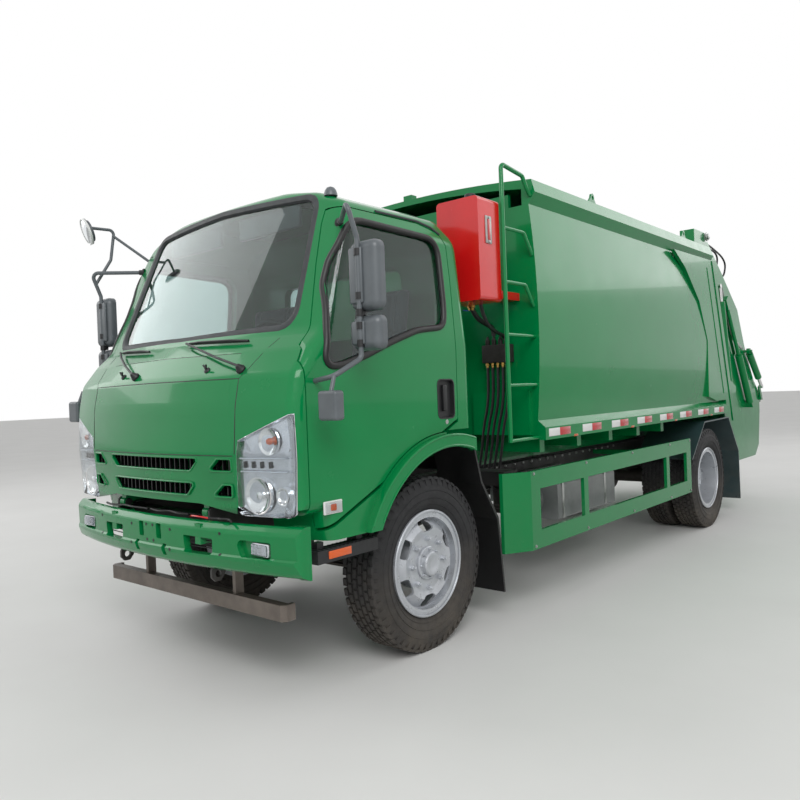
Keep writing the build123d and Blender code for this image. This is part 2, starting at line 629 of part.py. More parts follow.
# Front outlines as (x, z, corner radius).
WINDSCREEN_OUTLINE = [
    (-812, 1770, 90), (-736, 2468, 90), (0, 2496, 0), (736, 2468, 90), (812, 1770, 90), (0, 1756, 0),
]
LAMP_OUTLINE = [(662, 885, 40), (985, 885, 0), (1030, 900, 0), (1030, 1360, 0), (985, 1360, 45), (686, 1241, 12)]
HOOD_OUTLINE = [(-663, 1172, 12), (663, 1172, 12), (600, 1655, 12), (-600, 1655, 12)]
GRILLE_OUTLINE = [(-655, 893, 0), (-400, 932, 0), (400, 932, 0), (655, 893, 0), (658, 1166, 0), (-658, 1166, 0)]
REAR_WINDOW = [(-560, 1800, 60), (560, 1800, 60), (540, 2200, 60), (-540, 2200, 60)]
# Grille openings of the left half as (x, z, corner radius); the two middle ones cross the centre line.
GRILLE_SLOTS = [
    [(-415, 1152, 8), (415, 1152, 8), (352, 1094, 14), (-352, 1094, 14)],
    [(-378, 1030, 8), (378, 1030, 8), (325, 974, 14), (-325, 974, 14)],
    [(552, 1150, 6), (640, 1150, 6), (640, 1098, 6), (492, 1098, 6)],
    [(585, 1028, 6), (640, 1028, 6), (640, 976, 6), (520, 976, 6)],
]


def front_prism(points, grow, y0=-1400.0, y1=-480.0):
    """Everything at the front of the cab within a front outline."""
    face = rounded_face(Plane.XZ, points, -grow)
    return extrude(Pos(0, y0, 0) * face, y1 - y0, dir=(0, 1, 0))


def slotted_grille(panel):
    """The grille panel with its slots cut through and upright bars set back inside them."""
    front, rear = CAB_FRONT_Y + GRILLE_BAR_INSET, CAB_FRONT_Y + GRILLE_BAR_INSET + GRILLE_BAR_DEPTH
    for points in GRILLE_SLOTS:
        cut = front_prism(points, 0, -1300, -1000)
        low, high = min(z for _, z, _ in points), max(z for _, z, _ in points)
        for side in [cut] if points[0][0] < 0 else both_sides(cut):
            panel -= side
        start, end = min(x for x, _, _ in points), max(x for x, _, _ in points)
        bars = Part()
        for index in range(int((end - start) / GRILLE_BAR_PITCH)):
            x = start + (index + 0.75) * GRILLE_BAR_PITCH
            bow = x ** 2 / (2 * CAB_BOW_RADIUS)
            bars += block(x - 3, x + 3, front + bow, rear + bow, low - 6, high + 6)
        bars &= front_prism(points, 2, -1300, -1000)
        for side in [bars] if points[0][0] < 0 else both_sides(bars):
            panel += side
    return panel


def build_cab():
    """Cab shell with its panels, lamps, glass, doors and inside."""
    outer = cab_volume(0)
    inner = cab_volume(CAB_WALL)
    door_inner = cab_volume(DOOR_THICKNESS)
    glass = cab_volume(GLASS_INSET) - cab_volume(GLASS_INSET + GLASS_THICKNESS)
    panel = outer - inner

    cabin = inner & (block(-1100, 1100, -1300, 330, FLOOR_Z + 60, 2700) + block(-1100, 1100, -1300, -660, FOOTWELL_LOW_Z + 30, 1300))
    shell = outer - cabin
    shell -= block(-1100, 1100, -1200, TILT_Y + 112, 600, FOOTWELL_LOW_Z)
    shell -= block(-560, 560, -600, 500, 600, FLOOR_Z)
    shell -= arch_cut(0, -1100, 1100)
    shell -= block(-1100, 1100, ARCH_Y, 500, 600, CAB_REAR_LOW_Z)
    under = block(-700, 700, -1200, -600, 600, 890)
    shell -= under

    lamp_cut = front_prism(LAMP_OUTLINE, 0, -1400, LAMP_REAR_Y)
    for cut in both_sides(lamp_cut):
        shell -= cut
    shell -= front_plate([(-657, 880), (-657, 893), (-400, 933), (400, 933), (657, 893), (657, 880)], -1300, -1000)
    shell -= front_prism(HOOD_OUTLINE, SKIN_GAP, -1400, HOOD_REAR_Y)
    shell -= front_prism(GRILLE_OUTLINE, SKIN_GAP, -1400, GRILLE_REAR_Y)
    shell -= front_prism(WINDSCREEN_OUTLINE, 0)
    shell -= front_prism(REAR_WINDOW, 0, 200, 600)
    door_cut = door_prism(PANEL_GAP)
    flare_limit = arch_cut(FLARE_WIDTH + PANEL_GAP, 600, 1300)
    door_cut_shape = door_cut - flare_limit
    for side in both_sides(door_cut_shape):
        shell -= side
    ear_x0, ear_x1 = RAIL_OUTER_X - 50, RAIL_OUTER_X - 8
    ear = side_plate([(TILT_Y - 20, TILT_Z), (TILT_Y + 30, TILT_Z), (TILT_Y + 150, 892), (TILT_Y + 150, FOOTWELL_LOW_Z + 3), (TILT_Y - 10, FOOTWELL_LOW_Z + 3)], ear_x0, ear_x1)
    ear += bar_x(28, ear_x0, ear_x1, TILT_Y, TILT_Z)
    ear -= bar_x(TILT_PIN_RADIUS + BEARING_GAP, ear_x0 - 20, ear_x1 + 20, TILT_Y, TILT_Z)
    for side in both_sides(ear):
        shell += side

    lamp = panel & front_prism(LAMP_OUTLINE, -SKIN_GAP, -1400, LAMP_REAR_Y - SKIN_GAP)
    lamps = both_sides(lamp)
    hood = panel & front_prism(HOOD_OUTLINE, 0, -1400, HOOD_REAR_Y - SKIN_GAP)
    grille = panel & front_prism(GRILLE_OUTLINE, -SKIN_GAP, -1400, GRILLE_REAR_Y - SKIN_GAP)
    grille = slotted_grille(grille)
    windscreen = glass & front_prism(WINDSCREEN_OUTLINE, -SKIN_GAP)
    rear_glass = glass & front_prism(REAR_WINDOW, -SKIN_GAP, 250, 550)

    door = ((outer - door_inner) & door_prism(0)) - arch_cut(FLARE_WIDTH + 2 * PANEL_GAP, 600, 1300)
    sill_line = [(-960, 753), (208, 1262)]
    rise = DOOR_SILL_GAP
    door -= side_plate([(y, z + rise) for y, z in sill_line] + [(208, 700), (-960, 700)], 600, 1300)
    door -= left_prism(WINDOW_OUTLINE, 0, 870)
    (handle_y0, handle_y1), (handle_z0, handle_z1) = HANDLE_Y, HANDLE_Z
    recess = [(handle_y0, handle_z0, 26), (handle_y1, handle_z0, 26), (handle_y1, handle_z1, 26), (handle_y0, handle_z1, 26)]
    door -= left_prism(recess, 0, CAB_HALF_WIDTH - HANDLE_DEPTH)
    middle = (handle_y0 + handle_y1) / 2
    grip = block(CAB_HALF_WIDTH - HANDLE_DEPTH - 1, CAB_HALF_WIDTH - 4, middle - 14, middle + 14, handle_z0 + 40, handle_z1 - 30)
    door += fillet(grip.edges().filter_by(Axis.Z), 6)
    door_glass = glass & left_prism(WINDOW_OUTLINE, -SKIN_GAP, 880)

    flare_ring = bar_x(ARCH_RADIUS + FLARE_WIDTH, CAB_HALF_WIDTH - 20, CAB_HALF_WIDTH + FLARE_STAND, ARCH_Y, ARCH_Z)
    flare_ring -= arch_cut(0.2, 900, 1200)
    flare_ring &= block(900, 1200, -800, 330, 762, 1300)
    flare_ring -= outer
    return {
        "cab_shell": shell, "headlamps": lamps, "hood_panel": hood, "grille": grille,
        "windscreen": [windscreen, rear_glass], "door": door, "door_glass": door_glass,
        "wheel_flares": both_sides(flare_ring),
    }


def seats_and_dash():
    """Driver seat, double passenger seat and the dashboard with its steering wheel."""
    seats = []
    for x0, x1 in ((250, 740), (-740, 60)):
        base = block(x0, x1, -420, 60, FLOOR_Z + 60.3, FLOOR_Z + 320)
        back = side_plate([(40, 1500), (150, 1500), (250, 2080), (170, 2080)], x0 + 20, x1 - 20)
        seats.append(base + back)
    dash_profile = [(-1000, 1300), (-780, 1300), (-700, 1500), (-760, 1640), (-900, 1690), (-985, 1600)]
    dash = side_plate(dash_profile, -900, 900)
    dash &= cab_volume(DASH_INSET)
    dash += cab_volume(CAB_WALL + SKIN_GAP) & block(-600, 600, -1100, -900, 1610, 1680)
    column = bar(26, (495, -800, 1520), (495, -600, 1640))
    wheel_plane = Plane(origin=(495, -600, 1640), z_dir=(0, 330, 190))
    ring = sweep(wheel_plane * Pos(215, 0, 0) * Rot(90, 0, 0) * Circle(14), path=wheel_plane * CenterArc((0, 0), 215, 0, 360))
    spokes = extrude(wheel_plane * Rectangle(420, 44), 12, both=True)
    return seats, dash + column + ring + spokes


def mirror_head(y0, y1, z0, z1, width, corner):
    """One mirror housing with a rounded outline and a domed back."""
    head = block(MIRROR_REACH_X - width, MIRROR_REACH_X, y0, y1, z0, z1)
    head = fillet(head.edges().filter_by(Axis.Y), corner)
    return fillet(head.faces().sort_by(Axis.Y)[0].edges(), (y1 - y0) * 0.6)


def left_mirrors(cab_form):
    """Door mirrors on a tube frame that stands on the door's skin."""
    reach = MIRROR_REACH_X - 0.6 * MIRROR_WIDTH
    tube = tube_path(12, [
        (900, -560, 2290), (reach, -800, 2300), (reach, -740, 2150), (reach, -740, 1600),
        (reach - 20, -900, 1520), (980, -880, 1500),
    ], 35)
    mirrors = tube + mirror_head(-735, -672, 1817, 2140, MIRROR_WIDTH, 40)
    mirrors += mirror_head(-735, -672, 1636, 1795, MIRROR_WIDTH, 34)
    down = fillet(block(1115, 1232, -968, -908, 1325, 1457).edges(), 16)
    mirrors += down + bar(10, (reach - 20, -900, 1520), (1165, -930, 1440))
    return mirrors - cab_form


def kerb_mirror():
    """Round convex mirror on a tube bracket above the right mirrors, as modelled at the left."""
    reach = MIRROR_REACH_X - 0.6 * MIRROR_WIDTH
    arm = tube_path(10, [(reach, -771, 2228), (reach - 10, -665, 2400), (reach - 22, -640, 2600), (1186, -800, 2600)], 30)
    stay = bar(9, (reach - 22, -645, 2560), (900, -480, 2330))
    plane = Plane(origin=(1196, -800, 2578), z_dir=(0.25, -0.9, -0.35))
    dish = extrude(plane * Circle(86), 12) + extrude(plane * Circle(70), -16)
    return arm + stay + dish


def cab_steps():
    """Step bars below the doors, hung from the cab's sill."""
    step = block(945, 1025, -915, -510, 665, 725)
    step += block(950, 985, -880, -840, 720, CAB_LOW_Z - 0.3)
    step += block(950, 985, -620, -580, 720, CAB_LOW_Z - 0.3)
    return both_sides(step)


def front_mudflaps():
    """Curved guard and flap behind each front wheel, hung from the frame."""
    outline = [(360, 1120), (430, 880), (590, 640), (640, 180), (655, 180), (606, 648), (444, 888), (372, 1126)]
    flap = side_plate(outline, 700, 1012)
    flap += block(RAIL_OUTER_X + 0.3, 720, 500, 530, 700, 760)
    return both_sides(flap)


def rear_mudguards():
    """Flat-sided guard over each pair of rear wheels with its flap."""
    outline = [
        (-513, 712), (-135, 1042), (617, 1052), (937, 672), (952, 150),
        (940, 150), (924, 668), (611, 1040), (-131, 1030), (-505, 704),
    ]
    guard = side_plate([(WHEELBASE + y, z) for y, z in outline], GUARD_INNER_X, SILL_HALF_WIDTH)
    for y in (WHEELBASE - 73, WHEELBASE + 447):
        guard += bar_x(14, RAIL_OUTER_X + SKIN_GAP, GUARD_INNER_X + 30, y, 995)
        guard += block(GUARD_INNER_X + 2, GUARD_INNER_X + 30, y - 14, y + 14, 995, 1041)
    return both_sides(guard)


def side_guards():
    """Side guards between the wheels: posts with a double top rail and a bottom rail."""
    guard = block(1085, 1111, 847, GUARD_REAR_Y, 788, 907) + block(1085, 1111, 847, GUARD_REAR_Y, 409, 524)
    for y0, y1 in ((847, 949), (1560, 1625), (3120, 3185), (3615, GUARD_REAR_Y)):
        guard += block(1085, 1111, y0, y1, 409, 907)
    front = [(1111, 860), (1111, 836), (1013, 660), (989, 660)]
    leaf = extrude(make_face(Polyline(*[(x, y, 409) for x, y in front], close=True)), 498)
    guard += leaf
    for y in (1250.0, 3152.0):
        guard += block(RAIL_OUTER_X + 0.3, 1086, y - 20, y + 20, 800, 840)
    return both_sides(guard)


def body_section(inset):
    """Cross section of the load body between the sills, moved in by inset."""
    half = BODY_HALF_WIDTH - inset
    low, high = BODY_FLOOR_Z + inset, SIDE_TOP_Z
    middle = (low + high) / 2
    bulge = half + BODY_BULGE
    right = ThreePointArc((half, low), (bulge, middle), (half, high))
    top = Line((half, high), (-half, high))
    left = ThreePointArc((-half, high), (-bulge, middle), (-half, low))
    bottom = Line((-half, low), (half, low))
    return Plane.XZ * make_face([right, top, left, bottom])


def seam_cut(gap):
    """Everything behind the seam between body and tailgate, moved by gap."""
    (y0, z0), (y1, z1) = SEAM_TOP, SEAM_LOW
    slope = (y1 - y0) / (z1 - z0)
    top_y = y0 + slope * (3200 - z0) + gap
    low_y = y1 + slope * (300 - z1) + gap
    return side_plate([(top_y, 3200), (low_y, 300), (8000, 300), (8000, 3200)], -1400, 1400)


def load_body():
    """Hollow load body: floor with sub-frame, two bulged sides, roof and front wall."""
    rear = 5400.0
    behind = seam_cut(0)
    floor = block(-BODY_HALF_WIDTH, BODY_HALF_WIDTH, BODY_FRONT_Y + BODY_WALL, rear, BODY_FLOOR_Z, BODY_FLOOR_Z + BODY_FLOOR_THICKNESS)
    for side in (1, -1):
        floor += block(side * (RAIL_OUTER_X - 70), side * RAIL_OUTER_X, BODY_FRONT_Y, 5000, RAIL_TOP_Z + 0.3, 1010)
    for index in range(8):
        y = 1100 + index * 530
        reach = 560 if y > 3600 else BODY_HALF_WIDTH - 20
        floor += block(-reach, reach, y, y + 60, 1005, BODY_FLOOR_Z)
    floor -= behind

    outer = extrude(Pos(0, BODY_FRONT_Y, 0) * body_section(0), rear - BODY_FRONT_Y, dir=(0, 1, 0))
    inner = extrude(Pos(0, BODY_FRONT_Y - 5, 0) * body_section(BODY_WALL), rear - BODY_FRONT_Y + 10, dir=(0, 1, 0))
    side = (outer - inner) & block(700, 1400, BODY_FRONT_Y, rear, BODY_FLOOR_Z + 0.3, SIDE_TOP_Z)
    floor_top = BODY_FLOOR_Z + BODY_FLOOR_THICKNESS + SKIN_GAP
    side -= block(700, BODY_HALF_WIDTH + SKIN_GAP, BODY_FRONT_Y - 1, rear, BODY_FLOOR_Z - 5, floor_top)
    side -= block(700, BODY_HALF_WIDTH - BODY_WALL, BODY_FRONT_Y - 1, rear, BODY_FLOOR_Z, BODY_FLOOR_Z + BODY_WALL + 1)
    sill = [
        (BODY_HALF_WIDTH + 0.3, BODY_FLOOR_Z), (SILL_HALF_WIDTH, BODY_FLOOR_Z), (SILL_HALF_WIDTH, SILL_EDGE_Z),
        (BODY_HALF_WIDTH + 2, SILL_TOP_Z),
    ]
    side += front_plate(sill, BODY_FRONT_Y, 4859)
    side -= behind
    sheets = both_sides(side)

    roof_points = [
        (RAIL_PEAK_X - 50, SIDE_TOP_Z + 0.3), (RAIL_PEAK_X, RAIL_PEAK_Z), (ROOF_EDGE_X, ROOF_EDGE_Z),
    ]
    under = [(RAIL_PEAK_X - 100, ROOF_EDGE_Z - 50), (RAIL_PEAK_X - 100, SIDE_TOP_Z + 0.3)]
    crown = ThreePointArc((ROOF_EDGE_X, ROOF_EDGE_Z), (0, ROOF_CROWN_Z), (-ROOF_EDGE_X, ROOF_EDGE_Z))
    ceiling = ThreePointArc((-under[0][0], under[0][1]), (0, ROOF_CROWN_Z - ROOF_DEPTH), (under[0][0], under[0][1]))
    left_run = Polyline((-ROOF_EDGE_X, ROOF_EDGE_Z), (-RAIL_PEAK_X, RAIL_PEAK_Z), (-RAIL_PEAK_X + 50, SIDE_TOP_Z + 0.3), (-under[1][0], under[1][1]), (-under[0][0], under[0][1]))
    right_run = Polyline((under[0][0], under[0][1]), (under[1][0], under[1][1]), *roof_points)
    roof_face = Plane.XZ * make_face([crown, *left_run.edges(), ceiling, *right_run.edges()])
    roof = extrude(Pos(0, BODY_FRONT_Y, 0) * roof_face, rear - BODY_FRONT_Y, dir=(0, 1, 0))
    roof += block(0, 76, BODY_FRONT_Y, BODY_FRONT_Y + 60, ROOF_CROWN_Z - 20, ROOF_CROWN_Z + 35)
    eye = side_plate([(-70, -4), (-22, 44), (-10, 72), (14, 80), (34, 66), (40, 36), (74, -4)], 0, 14)
    eye -= bar_x(16, -5, 20, 10, 46)
    for y in LIFTING_EYE_Y:
        for side in both_sides(Pos(ROOF_EDGE_X - 40, y, ROOF_EDGE_Z + 4) * eye):
            roof += side
    roof -= behind

    wall = extrude(Pos(0, BODY_FRONT_Y, 0) * body_section(BODY_WALL + 0.3), BODY_WALL, dir=(0, 1, 0))
    wall += block(-900, 900, BODY_FRONT_Y, BODY_FRONT_Y + BODY_WALL, SIDE_TOP_Z - 132, SIDE_TOP_Z + 88)
    wall += block(577, 1020, BODY_FRONT_Y - 30, BODY_FRONT_Y + 1, 1123, 1413)
    return floor, sheets, roof, wall


def under_roof(gap):
    """Everything under the roof's crown, raised by gap."""
    crown = ThreePointArc((ROOF_EDGE_X, ROOF_EDGE_Z + gap), (0, ROOF_CROWN_Z + gap), (-ROOF_EDGE_X, ROOF_EDGE_Z + gap))
    floor = Polyline((-ROOF_EDGE_X, ROOF_EDGE_Z + gap), (-ROOF_EDGE_X, 2000), (ROOF_EDGE_X, 2000), (ROOF_EDGE_X, ROOF_EDGE_Z + gap))
    return extrude(Plane.XZ * make_face([crown, *floor.edges()]), 6000, dir=(0, 1, 0))


def body_rear_frame():
    """Rear posts and hinge blocks at the back of the load body."""
    post = [(4323, 1278), (4339, 1835), (4130, 2210), (3772, 2499), (3498, 2635), (4800, 2650), (5300, 1200), (5200, 1090)]
    plate = side_plate(post, BODY_HALF_WIDTH + 18, POST_OUTER_X)
    strip = side_plate(SEAM_STRIP, POST_OUTER_X - 10, POST_OUTER_X + 8)
    ridge = side_plate(SEAM_STRIP, POST_OUTER_X - 10, POST_OUTER_X + 5)
    plate += strip + Pos(0, -2.2 * STRIP_WIDTH, 0) * (ridge & block(900, 1300, 3000, 6000, 1300, 2560))
    outer = extrude(Pos(0, BODY_FRONT_Y, 0) * body_section(-0.3), 5400 - BODY_FRONT_Y, dir=(0, 1, 0))
    plate -= outer
    plate -= block(1000, 1200, 3000, 4860, 1000, SILL_TOP_Z + 1)
    frame = plate + block(BODY_HALF_WIDTH + 1, POST_OUTER_X, 4866, 5300, BODY_FLOOR_Z + 1, SILL_TOP_Z)
    frame -= outer
    frame -= seam_cut(0)
    lugs = block(890, 1030, HINGE_Y - 330, HINGE_Y - 80, ROOF_EDGE_Z - 20, HINGE_Z + 40) - under_roof(SKIN_GAP)
    for x0, x1 in ((890, 925), (995, 1030)):
        lugs += side_plate([(HINGE_Y - 90, ROOF_EDGE_Z + 40), (HINGE_Y, HINGE_Z - 45), (HINGE_Y + 40, HINGE_Z), (HINGE_Y, HINGE_Z + 40), (HINGE_Y - 90, HINGE_Z + 40)], x0, x1)
    lugs += bar_x(HINGE_PIN_RADIUS, 900, 1020, HINGE_Y, HINGE_Z)
    base_y, base_z = LIFT_BASE
    foot = side_plate([
        (base_y - 170, base_z - 60), (base_y + 34, base_z - 34), (base_y + 34, base_z + 34), (base_y - 200, base_z + 120),
    ], BRACKET_X, POST_OUTER_X)
    foot &= seam_cut(SKIN_GAP)
    foot += bar_x(18, CYLINDER_X - BARREL_RADIUS, BRACKET_X + 1, base_y, base_z)
    return frame, lugs, foot


def slide_point(u, v=0.0):
    """A point (y, z) in the packer's slide frame: u down the slide, v out to the rear."""
    c, s = cos(radians(SLIDE_ANGLE)), sin(radians(SLIDE_ANGLE))
    y, z = SLIDE_TOP
    return (y + u * c + v * s, z - u * s + v * c)


def slide_plate(points, x0, x1):
    """A plate from (u, v) points in the packer's slide frame."""
    return side_plate([slide_point(u, v) for u, v in points], x0, x1)


def tailgate():
    """Tailgate shell: two side plates, top cover, round hopper and the cylinder barrels of the slide."""
    hub_y, hub_z = slide_point(BLADE_HINGE_U + SLIDE_TRAVEL)
    outline = [
        (4572, 2812), (4640, 2865), (4760, 2880), (5205, 2594), (5735, 2231), (5966, 1820), (6250, 1480), (6520, 1180),
        (6520, 1040), (6440, 640), (6280, HOPPER_LOW_Z), (5450, HOPPER_LOW_Z), (5380, 650), (5170, 990),
    ]
    plate = side_plate(outline, GATE_SIDE_X - GATE_WALL, GATE_SIDE_X)
    plate &= seam_cut(SEAM_GAP)
    slot_end = SLIDE_BARREL_U[0] + 6
    slot = slide_plate([(160, -48), (slot_end, -48), (slot_end, 48), (160, 48)], 900, 1100)
    plate -= slot
    gate = Part()
    for side in both_sides(plate):
        gate += side
    inside = GATE_SIDE_X - GATE_WALL + 1
    cover = side_plate([(4640, 2850), (4760, 2880), (5205, 2594), (5735, 2231), (5790, 2130), (5770, 2122), (5720, 2212), (5195, 2574), (4756, 2856), (4650, 2826)], -inside, inside)
    gate += cover
    ring = bar_x(HOPPER_RADIUS + HOPPER_WALL, -inside, inside, hub_y, hub_z) - bar_x(HOPPER_RADIUS, -1100, 1100, hub_y, hub_z)
    ring &= side_plate([(5170, BODY_FLOOR_Z + 22), (hub_y, BODY_FLOOR_Z + 22), (hub_y, 1060), (LIP_Y + 60, 1060), (LIP_Y + 60, 500), (5170, 500)], -1100, 1100)
    gate += ring
    front_y = hub_y - sqrt(HOPPER_RADIUS ** 2 - (hub_z - BODY_FLOOR_Z - 22) ** 2)
    gate += block(-inside, inside, 5148, front_y, BODY_FLOOR_Z + 2, BODY_FLOOR_Z + 22)
    gate += block(-inside, inside, LIP_Y - 20, LIP_Y + 45, 1030, 1060)
    gate += block(-inside, inside, LIP_Y + 20, LIP_Y + 45, 640, 1060)
    gate += block(-inside, inside, 5460, 6280, HOPPER_LOW_Z, HOPPER_LOW_Z + 60)
    gate -= block(-1300, 1300, 4000, 5148 - 1, 1000, 1130)
    lug = side_plate([
        (HINGE_Y - 40, HINGE_Z - 30), (HINGE_Y + 10, 2820), (HINGE_Y + 150, 2840), (HINGE_Y + 150, 2880),
        (HINGE_Y + 20, HINGE_Z + 40), (HINGE_Y - 30, HINGE_Z + 34),
    ], 930, 990)
    lug -= bar_x(HINGE_PIN_RADIUS + BEARING_GAP, 800, 1100, HINGE_Y, HINGE_Z)
    for side in both_sides(lug):
        gate += side
    guide = slide_plate([(60, -66), (1420, -66), (1420, -50), (60, -50)], inside - 40, inside)
    guide += slide_plate([(60, 50), (1420, 50), (1420, 66), (60, 66)], inside - 40, inside)
    for side in both_sides(guide):
        gate += side
    hinge_y, hinge_z = LIFTER_HINGE
    boss = side_plate([(6400, 1130), (hinge_y + 40, hinge_z - 50), (hinge_y + 46, hinge_z), (hinge_y, hinge_z + 46), (6330, 1400)], GATE_SIDE_X - GATE_WALL, GATE_SIDE_X)
    boss -= bar_x(30 + BEARING_GAP, 900, 1100, hinge_y, hinge_z)
    for side in both_sides(boss):
        gate += side
    pin = bar_x(16, GATE_SIDE_X - 1, CYLINDER_X + BARREL_RADIUS, *LIFTER_BASE)
    for side in both_sides(pin):
        gate += side
    end = SLIDE_BARREL_U[1]
    foot = slide_plate([(end, -30), (end + 60, -30), (end + 60, 30), (end, 30)], GATE_SIDE_X - 1, CYLINDER_X + 30)
    for side in both_sides(foot):
        gate += side
    return gate


def slide_barrels():
    """Outer cylinder barrels that push the packer slide, one at each side."""
    start, end = SLIDE_BARREL_U
    y0, z0 = slide_point(start)
    y1, z1 = slide_point(end - SKIN_GAP)
    barrel = bar(BARREL_RADIUS, (CYLINDER_X, y0, z0), (CYLINDER_X, y1, z1))
    bore_end = slide_point(end - 15)
    barrel -= bar(ROD_RADIUS + BORE_GAP, (CYLINDER_X, *slide_point(start - 10)), (CYLINDER_X, *bore_end))
    return both_sides(barrel)


def carriage():
    """Packer slide across the tailgate with its cylinder rods, at the top of its stroke."""
    width = GATE_SIDE_X - GATE_WALL - 45
    frame = slide_plate([(180, -44), (796, -44), (796, 44), (180, 44)], -width, width)
    frame -= slide_plate([(215, -60), (720, -60), (720, 20), (215, 20)], -width + 60, width - 60)
    base_u, base_v = BLADE_BASE_UV
    base_y, base_z = slide_point(base_u, base_v)
    for side in (1, -1):
        x = side * BLADE_CYLINDER_X
        frame -= slide_plate([(690, -60), (810, -60), (810, 60), (690, 60)], x - 36, x + 36)
        for x0 in (x - 34, x + 22):
            frame += slide_plate([(190, -44), (base_u + 24, -54), (base_u + 24, 0), (214, 30), (190, 30)], x0, x0 + 12)
        frame += bar_x(14, x - 30, x + 30, base_y, base_z)
    for side in (1, -1):
        lug_u0, lug_u1 = SLIDE_LUG_U
        frame += slide_plate([(lug_u0, -42), (lug_u1, -42), (lug_u1, 42), (lug_u0, 42)], side * (width - 1), side * (CYLINDER_X + 24))
        rod = bar(ROD_RADIUS, (side * CYLINDER_X, *slide_point(250)), (side * CYLINDER_X, *slide_point(SLIDE_BARREL_U[0] + 35)))
        frame += rod
    blade_y, blade_z = slide_point(BLADE_HINGE_U)
    for x in (-800, -270, 270, 800):
        lug = slide_plate([(780, -40), (BLADE_HINGE_U + 40, -34), (BLADE_HINGE_U + 40, 34), (780, 40)], x - 20, x + 20)
        frame += lug
    frame += bar_x(24, -width + 100, width - 100, blade_y, blade_z)
    return frame


def blade_lever_eye():
    """Where the blade cylinders push on the blade, as (y, z)."""
    y, z = slide_point(BLADE_HINGE_U)
    return (y + BLADE_LEVER[0], z + BLADE_LEVER[1])


def packing_blade():
    """Packing blade that hangs from the slide."""
    y, z = slide_point(BLADE_HINGE_U)
    width = GATE_SIDE_X - GATE_WALL - 51
    outline = [(y - 20, z - 90), (y + 60, z - 90), (y + 90, z - 300), (y + 130, z - BLADE_LENGTH + 40), (y + 110, z - BLADE_LENGTH + 12), (y + 20, z - 300)]
    blade = side_plate(outline, -width, width)
    for x in (-740, -330, 330, 740):
        blade += side_plate([(y - 40, z - 20), (y - 10, z + 44), (y + 40, z + 20), (y + 60, z - 100), (y - 20, z - 100)], x - 18, x + 18)
    lever_y, lever_z = blade_lever_eye()
    for side in (1, -1):
        x = side * BLADE_CYLINDER_X
        for x0 in (x - 33, x + 23):
            lever = [(y + 10, z + 34), (y + 30, z - 95), (y - 20, z - 95), (lever_y - 16, lever_z - 18), (lever_y - 6, lever_z + 22)]
            blade += side_plate(lever, x0, x0 + 10)
    blade -= bar_x(24 + BEARING_GAP, -1000, 1000, y, z)
    return blade


def ejector_panel():
    """Sloped push plate on a frame, at the front of the load body."""
    half = BODY_HALF_WIDTH - BODY_WALL - 12
    floor = BODY_FLOOR_Z + BODY_FLOOR_THICKNESS + 6
    face = [(1560, floor), (1590, floor), (1590, 1500), (1300, 2560), (1270, 2560), (1560, 1500)]
    panel = side_plate(face, -half + 40, half - 40)
    for x in (-500, 500):
        panel += side_plate([(1140, floor), (1561, floor), (1561, 1500), (1420, 2010), (1140, 1200)], x - 20, x + 20)
        panel += block(x - 40, x + 40, 1140, 1590, floor - 6 + SKIN_GAP, floor + 20)
    return panel


def ladder():
    """Access ladder at the front left corner: one post with a hoop at its top, and rungs back to the body."""
    x, y = LADDER_X, LADDER_Y
    wall_y = BODY_FRONT_Y - SKIN_GAP
    rail = tube_path(14, [
        (x, y, 1100), (x, y, ROOF_EDGE_Z + 30), (x, y + 250, ROOF_EDGE_Z + 4), (x, BODY_FRONT_Y - 45, ROOF_EDGE_Z - 60),
        (x, wall_y, RAIL_PEAK_Z - 20),
    ], 30)
    for z in (1110.0, 1455.0, 1769.0):
        rail += bar(12, (x, y, z), (x, wall_y, z))
    for z in (2095.0, 2428.0):
        rail += tube_path(12, [(x, y, z), (x, wall_y - 100, z), (x, wall_y, z - 130)], 30)
    return rail - block(700, 1300, wall_y, wall_y + 60, 1000, 2900)


def oil_tank():
    """Hydraulic oil tank high on the body's front wall."""
    tank = block(740, 1045, 450, 680, 1970, 2590)
    tank = fillet(tank.edges().filter_by(Axis.Y), 24)
    return tank + block(800, 960, 679, BODY_FRONT_Y - 0.3, 2010, 2060)


def cylinder_barrel(base, eye, length, x=CYLINDER_X, radius=BARREL_RADIUS, pin=18.0):
    """A pinned cylinder barrel from its base eye towards the rod's eye."""
    (y0, z0), (y1, z1) = base, eye
    reach = hypot(y1 - y0, z1 - z0)
    dy, dz = (y1 - y0) / reach, (z1 - z0) / reach
    tip = (y0 + dy * length, z0 + dz * length)
    start = (y0 + dy * 40, z0 + dz * 40)
    bore = (y0 + dy * 60, z0 + dz * 60)
    mouth = (y0 + dy * (length + 10), z0 + dz * (length + 10))
    barrel = bar(radius, (x, *start), (x, *tip)) + bar_x(radius - 4, x - 18, x + 18, y0, z0)
    barrel += bar(15, (x, y0, z0), (x, *start))
    barrel -= bar(ROD_RADIUS + BORE_GAP, (x, *bore), (x, *mouth))
    return barrel - bar_x(pin + BEARING_GAP, x - 60, x + 60, y0, z0)


def cylinder_rod(base, eye, start, x=CYLINDER_X):
    """The rod of a pinned cylinder with the eye at its end."""
    (y0, z0), (y1, z1) = base, eye
    reach = hypot(y1 - y0, z1 - z0)
    dy, dz = (y1 - y0) / reach, (z1 - z0) / reach
    rod = bar(ROD_RADIUS, (x, y0 + dy * start, z0 + dz * start), (x, y1, z1))
    return rod + bar_x(26, x - 16, x + 16, y1, z1)


def lift_cylinders():
    """Cylinders that lift the tailgate, one at each side."""
    barrel = cylinder_barrel(LIFT_BASE, LIFT_EYE, 960)
    rod = cylinder_rod(LIFT_BASE, LIFT_EYE, 90)
    return both_sides(barrel), both_sides(rod)


